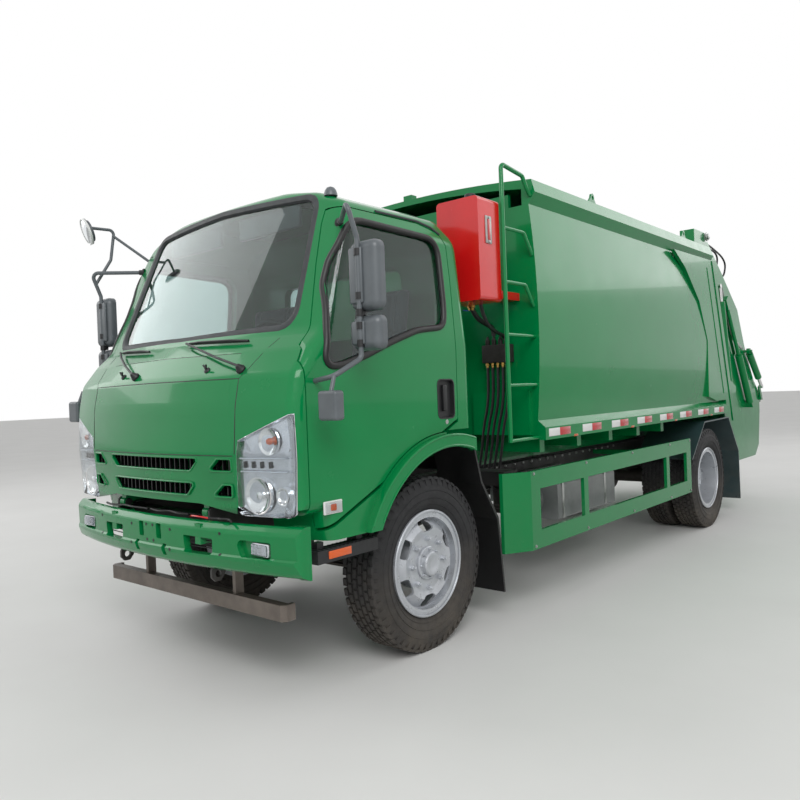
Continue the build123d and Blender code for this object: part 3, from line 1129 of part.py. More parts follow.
def lifter_eye():
    """Where the lifter cylinders push on the bin lifter, as (y, z)."""
    return (LIFTER_HINGE[0] + LIFTER_LEVER[0], LIFTER_HINGE[1] + LIFTER_LEVER[1])


def lifter_cylinders():
    """Cylinders that tip the bin lifter, one at each side."""
    barrel = cylinder_barrel(LIFTER_BASE, lifter_eye(), 480, pin=16.0)
    rod = cylinder_rod(LIFTER_BASE, lifter_eye(), 80)
    return both_sides(barrel), both_sides(rod)


def blade_cylinders():
    """Cylinders between the packer slide and the packing blade."""
    base = slide_point(*BLADE_BASE_UV)
    barrel = cylinder_barrel(base, blade_lever_eye(), 380, BLADE_CYLINDER_X, 32.0, 14.0)
    rod = cylinder_rod(base, blade_lever_eye(), 90, BLADE_CYLINDER_X)
    return both_sides(barrel), both_sides(rod)


def bin_lifter():
    """Bin lifter across the hopper's rear: shaft, arms, hooks and bumper plate."""
    y, z = LIFTER_HINGE
    lifter = bar_x(30, -GATE_SIDE_X - 20, GATE_SIDE_X + 20, y, z)
    for side in (1, -1):
        lifter += side_plate([(y - 24, z - 20), (y + 34, z - 30), (y + 20, z + 20), (y - 56, z + 150), (y - 104, z + 128)], side * (GATE_SIDE_X + 6), side * (GATE_SIDE_X + 26))
    for x in (-640, 0, 640):
        arm = [(y - 16, z + 30), (y + 90, z + 110), (LIFTER_REAR_Y, z + 130), (LIFTER_REAR_Y, z + 70), (y + 120, z + 40), (y + 60, z - 60), (y + 40, LIFTER_LOW_Z), (y + 5, LIFTER_LOW_Z)]
        lifter += side_plate(arm, x - 18, x + 18)
    lifter += block(-760, 760, y + 5, y + 30, LIFTER_LOW_Z, LIFTER_LOW_Z + 160)
    lifter += block(-760, 760, LIFTER_REAR_Y - 60, LIFTER_REAR_Y - 30, z + 70, z + 130)
    return lifter


def tail_lamps():
    """Lamp clusters on the back of the hopper."""
    lamp = block(760, 960, LIP_Y + 45.3, LIP_Y + 75, 700, 790)
    return both_sides(lamp)


def build_nodes():
    """Every node of the truck in the front axle's frame, by name."""
    nodes = {}
    nodes["frame_rails"] = frame_rails()
    nodes["front_axle_beam"] = front_axle_beam()
    nodes["rear_axle"] = rear_axle()
    nodes["leaf_springs"] = leaf_springs()
    nodes["power_train"] = power_train()
    nodes["fuel_tank"] = fuel_tank()
    nodes["battery_and_air_tanks"] = battery_and_air_tanks()
    nodes["filter_unit"] = filter_unit()
    nodes["exhaust_silencer"] = exhaust_silencer()
    nodes["front_bumper"] = front_bumper()
    nodes["underrun_bar"] = underrun_bar()
    nodes["front_mudflaps"] = front_mudflaps()
    nodes["rear_mudguards"] = rear_mudguards()
    nodes["side_guards"] = side_guards()
    nodes["tie_rod"] = tie_rod()

    left_knuckle = knuckle()
    nodes["left_knuckle"] = left_knuckle
    nodes["right_knuckle"] = mirror(left_knuckle, about=Plane.YZ)
    front_tyre, front_rim = front_wheel()
    rear_tyres, rear_rims = rear_wheel()
    at_front = Pos(0, 0, AXLE_Z)
    at_rear = Pos(0, WHEELBASE, AXLE_Z)
    nodes["left_front_tyre"] = at_front * front_tyre
    nodes["left_front_rim"] = at_front * front_rim
    nodes["left_rear_tyres"] = [at_rear * one for one in rear_tyres]
    nodes["left_rear_rims"] = at_rear * rear_rims
    for name in ("front_tyre", "front_rim", "rear_tyres", "rear_rims"):
        shape = nodes["left_" + name]
        if isinstance(shape, list):
            nodes["right_" + name] = [mirror(one, about=Plane.YZ) for one in shape]
        else:
            nodes["right_" + name] = mirror(shape, about=Plane.YZ)

    cab = build_cab()
    door = cab.pop("door")
    door_glass = cab.pop("door_glass")
    nodes.update(cab)
    seats, dash = seats_and_dash()
    nodes["seats"] = seats
    nodes["dashboard"] = dash
    nodes["cab_steps"] = cab_steps()
    cab_form = cab_volume(-SKIN_GAP)
    mirrors = left_mirrors(cab_form)
    for name, shape in (("door", door), ("door_glass", door_glass), ("mirrors", mirrors)):
        nodes["left_" + name] = shape
        nodes["right_" + name] = mirror(shape, about=Plane.YZ)
    nodes["right_mirrors"] += mirror(kerb_mirror() - cab_form, about=Plane.YZ)

    floor, sheets, roof, wall = load_body()
    nodes["body_floor"] = floor
    nodes["body_sides"] = sheets
    nodes["body_roof"] = roof
    nodes["body_front_wall"] = wall
    frame, lugs, foot = body_rear_frame()
    nodes["body_rear_posts"] = both_sides(frame + foot) + both_sides(lugs)
    nodes["ladder"] = ladder()
    nodes["oil_tank"] = oil_tank()
    nodes["ejector_panel"] = ejector_panel()
    nodes["tailgate_shell"] = tailgate()
    nodes["tail_lamps"] = tail_lamps()
    nodes["slide_barrels"] = slide_barrels()
    nodes["packer_slide"] = carriage()
    nodes["packing_blade"] = packing_blade()
    nodes["lift_barrels"], nodes["lift_rods"] = lift_cylinders()
    nodes["lifter_barrels"], nodes["lifter_rods"] = lifter_cylinders()
    nodes["blade_barrels"], nodes["blade_rods"] = blade_cylinders()
    nodes["bin_lifter"] = bin_lifter()
    return nodes


def main():
    os.makedirs("parts", exist_ok=True)
    shift = Pos(0, ORIGIN_SHIFT, 0)
    for name, shape in build_nodes().items():
        pieces = shape if isinstance(shape, list) else [shape]
        solids = [shift * solid for piece in pieces for solid in piece.solids()]
        part = solids[0] if len(solids) == 1 else Compound(children=solids)
        part.label = name
        export_step(part, os.path.join("parts", name + ".step"))
        print(name, len(solids))


if __name__ == "__main__":
    main()
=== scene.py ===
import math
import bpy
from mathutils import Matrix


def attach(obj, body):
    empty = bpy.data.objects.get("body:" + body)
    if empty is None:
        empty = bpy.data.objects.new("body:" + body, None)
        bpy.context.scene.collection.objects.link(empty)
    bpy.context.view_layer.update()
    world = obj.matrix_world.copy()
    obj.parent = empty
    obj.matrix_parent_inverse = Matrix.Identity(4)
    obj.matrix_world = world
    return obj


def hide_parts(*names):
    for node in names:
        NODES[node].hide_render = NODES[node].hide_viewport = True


bl_info = {
    "name": "Rear Loading Garbage Truck",
    "version": (1, 0, 0),
    "blender": (4, 5, 0),
    "location": "View3D > Sidebar > Garbage Truck",
    "description": "Dresses the packed truck with tyres, lamps, seals, seats, hoses and painted finishes",
    "category": "Add Mesh",
}

import bpy
from bpy.props import FloatProperty, FloatVectorProperty, IntProperty, PointerProperty
from mathutils import Matrix, Vector
from mathutils.bvhtree import BVHTree

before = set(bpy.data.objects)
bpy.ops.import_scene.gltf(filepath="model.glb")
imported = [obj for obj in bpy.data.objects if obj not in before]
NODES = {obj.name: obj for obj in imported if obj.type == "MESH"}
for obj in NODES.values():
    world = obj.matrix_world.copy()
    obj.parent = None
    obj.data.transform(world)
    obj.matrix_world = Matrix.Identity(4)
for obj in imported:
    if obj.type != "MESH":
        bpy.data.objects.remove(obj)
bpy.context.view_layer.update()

# The drawing counts millimetres from the front axle. The frame counts metres from mid length.
FRONT_AXLE_Y = -2.8235
WHEELBASE = 4253
AXLE_HEIGHT = 481
NOSE_Y = -1138.0
BOW_RADIUS = 4500.0
BOW_AXIS_Y = NOSE_Y + BOW_RADIUS
ACROSS = Vector((1, 0, 0))
ALONG = Vector((0, 1, 0))
UP = Vector((0, 0, 1))

# The slot and the material of each kind of surface

BLACK_PLASTIC = ("black_plastic", "black plastic")
BLUE_PAINT = ("black_plastic", "blue paint")
BRASS = ("chrome", "brass")
CAST_IRON = ("cast_iron", "cast iron")
CHASSIS_PAINT = ("black_paint", "chassis paint")
CHROME = ("chrome", "chrome")
CLEAR_LENS = ("lamp_glass", "clear lens")
GREEN_PAINT = ("green_paint", "green paint")
HOSE_RUBBER = ("rubber", "hose rubber")
LAMP_BODY = ("black_plastic", "lamp silver")
LAMP_SILVER = ("chrome", "lamp silver")
MIRROR_PLASTIC = ("black_plastic", "mirror plastic")
MIRROR_SILVER = ("chrome", "mirror silver")
ORANGE_LENS = ("lamp_glass", "orange lens")
RED_GAUGE = ("lamp_glass", "red lens")
RED_LENS = ("red_lens", "red lens")
RED_PAINT = ("red_paint", "red paint")
RIPPLED_LENS = ("lamp_glass", "lens glass")
SEAL_RUBBER = ("rubber", "seal rubber")
SEAT_CLOTH = ("seat_fabric", "seat cloth")
TYRE_RUBBER = ("tyre", "tyre rubber")
VISOR_CLOTH = ("seat_fabric", "mirror plastic")
WHEEL_SILVER = ("wheel_paint", "wheel silver")
WHITE_BASE = ("lamp_glass", "white plastic")
WHITE_LENS = ("lamp_glass", "white reflector")
WHITE_PLASTIC = ("black_plastic", "white plastic")
ZINC = ("chrome", "zinc plate")


def linear(red, green, blue):
    """A screen colour of 0 to 255 as the linear colour that a material takes."""
    return tuple(
        v / 12.92 if v <= 0.04045 else ((v + 0.055) / 1.055) ** 2.4
        for v in (red / 255, green / 255, blue / 255)
    )


def colour_setting(name, description, shade):
    return FloatVectorProperty(
        name=name, description=description, subtype="COLOR", size=3, min=0, max=1, default=linear(*shade)
    )


def size_setting(name, description, metres):
    return FloatProperty(
        name=name, description=description, default=metres, min=0, unit="LENGTH", subtype="DISTANCE"
    )


class TruckColours(bpy.types.PropertyGroup):
    """Colours of the truck's finishes"""

    green: colour_setting("Green paint", "Paint of the cab, body and tailgate", (0, 126, 66))
    guard: colour_setting("Guard paint", "Paint of the rear mudguards", (46, 66, 70))
    red: colour_setting("Red paint", "Paint of the oil tank", (214, 18, 22))
    black: colour_setting("Chassis paint", "Paint of the frame and axles", (26, 27, 29))
    grey: colour_setting("Grey paint", "Paint of small steel parts", (128, 132, 132))
    wheel: colour_setting("Wheel paint", "Silver paint of the rims", (186, 190, 196))
    rubber: colour_setting("Tyre rubber", "Rubber of the tyres", (34, 34, 36))
    plastic: colour_setting("Black plastic", "Moulded plastic of trim and dashboard", (24, 25, 27))
    mirror_grey: colour_setting("Mirror plastic", "Moulded plastic of the mirror heads", (92, 98, 102))
    fabric: colour_setting("Seat fabric", "Cloth of the seats", (70, 74, 82))
    dust: colour_setting("Road dust", "Dust on the lower parts", (122, 112, 98))
    orange: colour_setting("Orange lens", "Turn lamps and side reflectors", (235, 96, 10))
    red_lens: colour_setting("Red lens", "Tail lamps and red reflectors", (190, 14, 18))


class TyreSizes(bpy.types.PropertyGroup):
    """Sizes of the tread"""

    lugs: IntProperty(
        name="Lugs", description="Blocks round one row of the tread", default=54, min=12, max=90
    )
    depth: size_setting("Tread depth", "Height of the blocks over the carcass", 0.011)
    steps: IntProperty(name="Steps", description="Faces round a tyre", default=96, min=24, max=160)


class StageSizes(bpy.types.PropertyGroup):
    """Camera, floor and light"""

    lens: FloatProperty(
        name="Lens", description="Focal length", default=32.91, min=10, max=200, unit="CAMERA"
    )
    key: FloatProperty(
        name="Key lamp", description="Strength of the key lamp", default=700, min=0, unit="POWER"
    )
    fill: FloatProperty(
        name="Fill lamp", description="Strength of the fill lamp", default=230, min=0, unit="POWER"
    )
    sky: FloatProperty(
        name="Sky", description="Strength of the light from all round", default=0.5, min=0, max=2
    )
    floor: size_setting("Floor", "Width of the floor", 160.0)


class TrimSizes(bpy.types.PropertyGroup):
    """Sizes of seals, pipes and hoses"""

    seal: size_setting("Window seal", "Width of the windscreen's rubber", 0.042)
    hose: size_setting("Hydraulic hose", "Diameter of the tailgate's hoses", 0.02)
    voxel: size_setting("Cushion voxel", "Voxel size of the padded seats", 0.009)


class TruckSettings(bpy.types.PropertyGroup):
    """All settings of the truck"""

    colours: PointerProperty(type=TruckColours)
    tyres: PointerProperty(type=TyreSizes)
    stage: PointerProperty(type=StageSizes)
    trim: PointerProperty(type=TrimSizes)


def settings():
    return bpy.context.scene.garbage_truck


# Placing and shaping


def at(x, y, z):
    """A point of the drawing as a point of the frame."""
    return Vector((x / 1000, y / 1000 + FRONT_AXLE_Y, z / 1000))


def deselect():
    bpy.ops.object.select_all(action="DESELECT")


def pick(*pieces):
    """Selects these pieces alone; the last one is active."""
    deselect()
    for piece in pieces:
        piece.select_set(True)
        bpy.context.view_layer.objects.active = piece


def open_edit(piece, action="SELECT"):
    pick(piece)
    bpy.ops.object.mode_set(mode="EDIT")
    bpy.ops.mesh.select_all(action=action)


def close_edit():
    bpy.ops.object.mode_set(mode="OBJECT")


def place_in_mesh(piece):
    """Leaves the piece's object at the origin with its place in its mesh."""
    pick(piece)
    bpy.ops.object.transform_apply(location=True, rotation=True, scale=True)


def turn_outwards(piece, merge=0.00002):
    """Merges doubles and points the faces outwards."""
    open_edit(piece)
    bpy.ops.mesh.remove_doubles(threshold=merge)
    bpy.ops.mesh.normals_make_consistent(inside=False)
    close_edit()


def modify(piece, kind, **values):
    """Adds a modifier, sets it and applies it."""
    pick(piece)
    bpy.ops.object.modifier_add(type=kind)
    modifier = piece.modifiers[-1]
    for key, value in values.items():
        setattr(modifier, key, value)
    bpy.ops.object.modifier_apply(modifier=modifier.name)


def slab(low, high, edge=0.0, segments=2):
    """A block between two corners with rounded edges."""
    low, high = Vector(low), Vector(high)
    low, high = (Vector(map(min, low, high)), Vector(map(max, low, high)))
    deselect()
    bpy.ops.mesh.primitive_cube_add(size=1, location=(low + high) / 2, scale=high - low)
    piece = bpy.context.object
    place_in_mesh(piece)
    if edge:
        open_edit(piece)
        bpy.ops.mesh.bevel(offset=edge / 1000, segments=segments, affect="EDGES")
        close_edit()
    return piece


def turned(centre, axis, stations, steps=32, caps=True):
    """A round piece about an axis, from (distance along, radius) stations."""
    axis = Vector(axis).normalized()
    centre = Vector(centre)
    lean = axis.to_track_quat("Z", "Y").to_euler()
    place, radius = stations[0]
    deselect()
    bpy.ops.mesh.primitive_circle_add(
        vertices=steps, radius=radius, fill_type="NOTHING", location=centre + axis * place, rotation=lean
    )
    piece = bpy.context.object
    place_in_mesh(piece)
    open_edit(piece)
    if caps:
        bpy.ops.mesh.edge_face_add()
    for next_place, next_radius in stations[1:]:
        if caps and place is stations[0][0]:
            bpy.ops.mesh.select_all(action="SELECT")
        bpy.ops.mesh.extrude_region_move(TRANSFORM_OT_translate={"value": axis * (next_place - place)})
        if abs(next_radius - radius) > 1e-7:
            share = next_radius / radius
            bpy.ops.transform.resize(value=(share, share, share), center_override=centre + axis * next_place)
        place, radius = next_place, next_radius
    close_edit()
    turn_outwards(piece)
    return piece


def ring(centre, axis, stations, steps=32):
    """A closed round section turned about an axis."""
    return turned(centre, axis, list(stations) + [stations[0]], steps, caps=False)


def round_about(piece, count, centre, axis):
    """Repeats the piece's mesh round an axis."""
    open_edit(piece)
    whole = 2 * math.pi * (count - 1) / count
    bpy.ops.mesh.spin(steps=count - 1, dupli=True, angle=whole, center=centre, axis=axis)
    close_edit()


def round_curve(name, points, radius, smooth, closed=False, resolution=8, sides=2):
    """A curve object with a round section through points."""
    curve = bpy.data.curves.new(name, "CURVE")
    curve.dimensions = "3D"
    spline = curve.splines.new("NURBS" if smooth else "POLY")
    spline.points.add(len(points) - 1)
    for point, place in zip(spline.points, points):
        point.co = (*place, 1)
    spline.use_cyclic_u = closed
    if smooth:
        spline.order_u = 3
        spline.use_endpoint_u = not closed
        spline.resolution_u = resolution
    curve.bevel_depth = radius
    curve.bevel_resolution = sides
    curve.use_fill_caps = True
    piece = bpy.data.objects.new(name, curve)
    bpy.context.scene.collection.objects.link(piece)
    return piece


def line_piece(points, radius, smooth=False, sides=2, closed=False):
    """A round rod, pipe or cable through points, as a mesh."""
    pick(round_curve("line", points, radius, smooth, closed, sides=sides))
    bpy.ops.object.convert(target="MESH")
    return bpy.context.object


def cut_plate(points, thickness, plane):
    """A flat plate cut to an outline of (a, b) points in the plane of a matrix."""
    curve = bpy.data.curves.new("plate", "CURVE")
    curve.dimensions = "2D"
    curve.fill_mode = "BOTH"
    spline = curve.splines.new("POLY")
    spline.points.add(len(points) - 1)
    for point, (a, b) in zip(spline.points, points):
        point.co = (a, b, 0, 1)
    spline.use_cyclic_u = True
    curve.extrude = thickness / 2
    piece = bpy.data.objects.new("plate", curve)
    piece.matrix_world = plane
    bpy.context.scene.collection.objects.link(piece)
    pick(piece)
    bpy.ops.object.convert(target="MESH")
    piece = bpy.context.object
    place_in_mesh(piece)
    turn_outwards(piece)
    return piece


def skin(loops):
    """A sheet through closed loops of points that have the same count."""
    count = len(loops[0])
    points = [tuple(p) for loop in loops for p in loop]
    faces = []
    for row in range(len(loops) - 1):
        first, second = row * count, (row + 1) * count
        for index in range(count):
            other = (index + 1) % count
            faces.append((first + index, first + other, second + other, second + index))
    mesh = bpy.data.meshes.new("skin")
    mesh.from_pydata(points, [], faces)
    piece = bpy.data.objects.new("skin", mesh)
    bpy.context.scene.collection.objects.link(piece)
    turn_outwards(piece)
    return piece


def joined(pieces):
    """One piece from several."""
    pick(*pieces)
    if len(pieces) > 1:
        bpy.ops.object.join()
    return bpy.context.object


def copied(piece, move=(0, 0, 0)):
    """A copy with its own mesh, moved."""
    pick(piece)
    bpy.ops.object.duplicate(linked=False)
    double = bpy.context.object
    double.parent = None
    double.matrix_world = Matrix.Translation(Vector(move))
    place_in_mesh(double)
    return double


def mirrored(piece):
    """The same piece at the other side of the truck, with its own mesh."""
    double = copied(piece)
    open_edit(double)
    bpy.ops.transform.resize(value=(-1, 1, 1), center_override=(0, 0, 0))
    bpy.ops.mesh.normals_make_consistent(inside=False)
    close_edit()
    return double


def finished(piece, name, body, look, smooth=35):
    """Names a finished piece, smooths it and gives it its body and material."""
    slot, material = look
    place_in_mesh(piece)
    piece.name = name
    piece.data.name = name
    bpy.ops.object.shade_smooth_by_angle(angle=math.radians(smooth))
    piece.data.materials.clear()
    piece.data.materials.append(bpy.data.materials[material])
    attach(piece, body)


def both_sides(piece, name, body, look, smooth=35):
    """Finishes a left piece and its right copy; {side} in the body is filled in."""
    other = mirrored(piece)
    for side, part in (("left", piece), ("right", other)):
        finished(part, f"{side}_{name}", body.format(side=side), look, smooth)


def copy_of_node(node, merge=0.00005):
    """A copy of a CAD node whose loose triangles are merged."""
    double = copied(NODES[node])
    for key in list(double.keys()):
        del double[key]
    open_edit(double)
    bpy.ops.mesh.remove_doubles(threshold=merge)
    close_edit()
    return double


def edit_faces(piece, wanted):
    """Opens the piece in edit mode with the faces selected for which wanted(centre, normal) is true."""
    open_edit(piece, "DESELECT")
    close_edit()
    for face in piece.data.polygons:
        face.select = wanted(face.center, face.normal)
    bpy.ops.object.mode_set(mode="EDIT")


def looks_up(centre, normal):
    return normal.z > 0.9


def keep_faces(piece, wanted):
    """Deletes the faces for which wanted(centre, normal) is false."""
    edit_faces(piece, lambda centre, normal: not wanted(centre, normal))
    bpy.ops.mesh.delete(type="FACE")
    close_edit()


def corner_rounded(points, grow, steps=6):
    """An outline of (a, b, radius) points, made larger by grow, with round corners, in millimetres."""
    count = len(points)
    area = 0
    for (a, b, _), (c, d, _) in zip(points, points[1:] + points[:1]):
        area += a * d - c * b
    way = 1 if area > 0 else -1
    lines = []
    for i in range(count):
        start = Vector(points[i][:2])
        end = Vector(points[(i + 1) % count][:2])
        run = (end - start).normalized()
        out = Vector((run.y, -run.x)) * way
        lines.append((start + out * grow, run))
    outline = []
    for i in range(count):
        (p, d), (q, e) = lines[i - 1], lines[i]
        cross = d.x * e.y - d.y * e.x
        corner = q if abs(cross) < 1e-6 else p + d * (((q - p).x * e.y - (q - p).y * e.x) / cross)
        radius = points[i][2]
        turn = cross * way
        if radius <= 0 or abs(cross) < 1e-6:
            outline += [corner] * (steps + 1)
            continue
        radius = max(radius + (grow if turn > 0 else -grow), 1)
        angle = math.acos(max(-1, min(1, d.dot(e))))
        reach = radius * math.tan(angle / 2)
        first = corner - d * reach
        side = Vector((-d.y, d.x)) * (1 if cross > 0 else -1)
        centre = first + side * radius
        for k in range(steps + 1):
            part = angle * k / steps * (1 if cross > 0 else -1)
            outline.append(centre + Matrix.Rotation(part, 2) @ (-side * radius))
    return [(p.x, p.y) for p in outline]


def even_outline(outline, count):
    """The outline as an even count of points, so that long runs follow a curved surface."""
    runs = []
    for i, start in enumerate(outline):
        end = outline[(i + 1) % len(outline)]
        runs.append(math.dist(start, end))
    total = sum(runs)
    result = []
    index, walked = 0, 0.0
    for k in range(count):
        target = total * k / count
        while walked + runs[index] < target:
            walked += runs[index]
            index += 1
        share = (target - walked) / runs[index] if runs[index] > 0 else 0
        start = outline[index]
        end = outline[(index + 1) % len(outline)]
        result.append(tuple(a + (b - a) * share for a, b in zip(start, end)))
    return result


SURFACES = {}


def surface(node):
    """The node's faces as a tree that answers where a line meets them."""
    if node not in SURFACES:
        mesh = NODES[node].data
        SURFACES[node] = BVHTree.FromPolygons(
            [v.co for v in mesh.vertices], [tuple(p.vertices) for p in mesh.polygons]
        )
    return SURFACES[node]


def meet(nodes, origin, direction):
    """Where a line first meets one of the nodes, or None."""
    best = None
    for node in nodes:
        place, normal, _, distance = surface(node).ray_cast(origin, Vector(direction))
        if place is not None and (best is None or distance < best[0]):
            best = (distance, place, normal)
    return best


def on_front(x, z, nodes=("cab_shell", "hood_panel", "grille", "front_bumper")):
    """The point of the cab's front at x and z, in metres."""
    found = meet(nodes, at(x, -1500, z), ALONG)
    if found is None:
        raise RuntimeError(f"nothing in front at {x}, {z}")
    return found[1], found[2]


def on_top(node, x, y):
    """The highest point of a node at x and y, in metres."""
    place = surface(node).ray_cast(at(x, y, 3300), -UP)[0]
    if place is None:
        raise RuntimeError(f"nothing of {node} at {x}, {y}")
    return place


# Finishes


def wire(material, start, output, end, entry):
    material.node_tree.links.new(start.outputs[output], end.inputs[entry])


def blank_finish(name):
    material = bpy.data.materials.new(name)
    material.use_nodes = True
    return material, material.node_tree.nodes["Principled BSDF"]


def set_inputs(node, values):
    for key, value in values.items():
        node.inputs[key].default_value = value


def add(material, kind, values=None, **choices):
    """Adds a shader node with its choices and socket values to a material or the world."""
    node = material.node_tree.nodes.new(kind)
    for key, value in choices.items():
        setattr(node, key, value)
    set_inputs(node, values or {})
    return node


def scaled(colour, share):
    return tuple(min(1, c * share) for c in colour) + (1,)


def two_tone(material, coords, scale, dark, light):
    """A soft noise between two colours; returns its ramp."""
    noise = add(material, "ShaderNodeTexNoise", {"Scale": scale, "Detail": 4.0, "Roughness": 0.6})
    wire(material, coords, "Object", noise, "Vector")
    ramp = add(material, "ShaderNodeValToRGB")
    ramp.color_ramp.elements[0].position = 0.3
    ramp.color_ramp.elements[1].position = 0.7
    ramp.color_ramp.elements[0].color = dark
    ramp.color_ramp.elements[1].color = light
    wire(material, noise, "Fac", ramp, "Fac")
    return ramp


def mixed(material, first, second, factor, factor_output):
    """Mixes a node's colour with a plain one and gives the result to the finish."""
    mix = add(material, "ShaderNodeMix", data_type="RGBA")
    wire(material, factor, factor_output, mix, "Factor")
    colour_entries = [s for s in mix.inputs if s.type == "RGBA"]
    material.node_tree.links.new(first.outputs["Color"], colour_entries[0])
    colour_entries[1].default_value = second
    result = [s for s in mix.outputs if s.type == "RGBA"][0]
    shader = material.node_tree.nodes["Principled BSDF"]
    material.node_tree.links.new(result, shader.inputs["Base Color"])


def set_roughness(material, shader, coords, scale, low, high):
    """Gloss that wanders between two values."""
    noise = add(material, "ShaderNodeTexNoise", {"Scale": scale, "Detail": 5.0, "Roughness": 0.65})
    wire(material, coords, "Object", noise, "Vector")
    spread = add(
        material, "ShaderNodeMapRange", {"From Min": 0.3, "From Max": 0.7, "To Min": low, "To Max": high}
    )
    wire(material, noise, "Fac", spread, "Value")
    wire(material, spread, "Result", shader, "Roughness")


def raise_pattern(material, shader, pattern, output, depth, strength=0.5):
    """Lets the light catch a pattern as if its bright parts stood out by depth."""
    bump = add(material, "ShaderNodeBump", {"Strength": strength, "Distance": depth})
    wire(material, pattern, output, bump, "Height")
    wire(material, bump, "Normal", shader, "Normal")


def set_bump(material, shader, coords, scale, depth, strength):
    """A fine grain that the light catches."""
    noise = add(material, "ShaderNodeTexNoise", {"Scale": scale, "Detail": 3.0, "Roughness": 0.55})
    wire(material, coords, "Object", noise, "Vector")
    raise_pattern(material, shader, noise, "Fac", depth, strength)


def dust_mask(material, coords, low, high, amount):
    """How much dust lies at a height: amount at low, none at high, broken up by noise."""
    split = add(material, "ShaderNodeSeparateXYZ")
    wire(material, coords, "Object", split, "Vector")
    height = add(
        material, "ShaderNodeMapRange",
        {"From Min": low, "From Max": high, "To Min": amount, "To Max": 0.0},
    )
    wire(material, split, "Z", height, "Value")
    noise = add(material, "ShaderNodeTexNoise", {"Scale": 6.0, "Detail": 6.0, "Roughness": 0.7})
    wire(material, coords, "Object", noise, "Vector")
    spread = add(
        material, "ShaderNodeMapRange", {"From Min": 0.35, "From Max": 0.7, "To Min": 0.25, "To Max": 1.0}
    )
    wire(material, noise, "Fac", spread, "Value")
    product = add(material, "ShaderNodeMath", operation="MULTIPLY")
    wire(material, height, "Result", product, 0)
    wire(material, spread, "Result", product, 1)
    return product


def plain_finish(name, colour, roughness, metallic=0.0, coat=0.0, blotch=3.0, grain=220.0, depth=0.0004,
                 contrast=0.16, dust=0.0, dust_top=1.1, dust_colour=None, strength=0.35, spread=0.08,
                 specular=0.5):
    """A painted, cast or moulded finish with tone, grain, gloss and dust."""
    material, shader = blank_finish(name)
    coords = add(material, "ShaderNodeTexCoord")
    tone = two_tone(material, coords, blotch, scaled(colour, 1 - contrast), scaled(colour, 1 + contrast / 2))
    if dust:
        mask = dust_mask(material, coords, 0.05, dust_top, dust)
        mixed(material, tone, tuple(dust_colour) + (1,), mask, 0)
    else:
        wire(material, tone, "Color", shader, "Base Color")
    set_roughness(material, shader, coords, blotch * 2.3, max(roughness - spread, 0.02), roughness + spread)
    set_bump(material, shader, coords, grain, depth, strength)
    set_inputs(shader, {"Metallic": metallic, "Specular IOR Level": specular})
    set_inputs(shader, {"Coat Weight": coat, "Coat Roughness": 0.04})


def grille_with_slot_shade(name, colour, black):
    """Green paint outside, and near-black painted shade on the faces deep inside the grille's slots."""
    material, shader = blank_finish(name)
    coords = add(material, "ShaderNodeTexCoord")
    tone = two_tone(material, coords, 3.0, scaled(colour, 0.84), scaled(colour, 1.06))
    split = add(material, "ShaderNodeSeparateXYZ")
    wire(material, coords, "Object", split, "Vector")
    square = add(material, "ShaderNodeMath", operation="MULTIPLY")
    wire(material, split, "X", square, 0)
    wire(material, split, "X", square, 1)
    bow = add(material, "ShaderNodeMath", {1: -1000 / (2 * BOW_RADIUS)}, operation="MULTIPLY")
    wire(material, square, 0, bow, 0)
    flat = add(material, "ShaderNodeMath", operation="ADD")
    wire(material, split, "Y", flat, 0)
    wire(material, bow, 0, flat, 1)
    # Faces more than 16 to 19 mm behind the bowed front are painted near black: painted shade deep in the
    # slots.
    front = FRONT_AXLE_Y + NOSE_Y / 1000
    slot_shade_depths = {"From Min": front + 0.016, "From Max": front + 0.019, "To Min": 0.0, "To Max": 1.0}
    inside = add(material, "ShaderNodeMapRange", slot_shade_depths)
    wire(material, flat, 0, inside, "Value")
    mixed(material, tone, scaled(black, 1.0), inside, "Result")
    set_roughness(material, shader, coords, 7.0, 0.2, 0.3)
    set_bump(material, shader, coords, 260.0, 0.0003, 0.2)
    set_inputs(shader, {"Specular IOR Level": 0.3, "Coat Weight": 0.35, "Coat Roughness": 0.05})


def glass_finish(name, colour, roughness, ripple=0.0, ripple_scale=1.0):
    """Clear or tinted glass and lens plastic."""
    material, shader = blank_finish(name)
    coords = add(material, "ShaderNodeTexCoord")
    tone = two_tone(material, coords, 2.0, scaled(colour, 0.93), scaled(colour, 1.0))
    wire(material, tone, "Color", shader, "Base Color")
    set_inputs(shader, {"Transmission Weight": 1.0, "IOR": 1.45})
    if roughness:
        set_roughness(material, shader, coords, 6.0, roughness, roughness + 0.02)
    else:
        shader.inputs["Roughness"].default_value = 0.0
    if ripple:
        wave = add(
            material, "ShaderNodeTexWave", {"Scale": ripple_scale, "Distortion": 0.3}, bands_direction="X"
        )
        wire(material, coords, "Object", wave, "Vector")
        raise_pattern(material, shader, wave, "Fac", ripple)


def lens_finish(name, colour, cell=0.006):
    """A coloured lens with small prisms."""
    material, shader = blank_finish(name)
    coords = add(material, "ShaderNodeTexCoord")
    cells = add(material, "ShaderNodeTexVoronoi", {"Scale": 1 / cell, "Randomness": 0.0}, feature="F1")
    wire(material, coords, "Object", cells, "Vector")
    ramp = add(material, "ShaderNodeValToRGB")
    ramp.color_ramp.elements[0].color = scaled(colour, 1.15)
    ramp.color_ramp.elements[1].color = scaled(colour, 0.62)
    ramp.color_ramp.elements[1].position = 0.8
    wire(material, cells, "Distance", ramp, "Fac")
    wire(material, ramp, "Color", shader, "Base Color")
    raise_pattern(material, shader, cells, "Distance", 0.001)
    set_roughness(material, shader, coords, 9.0, 0.1, 0.18)
    shader.inputs["Coat Weight"].default_value = 0.6


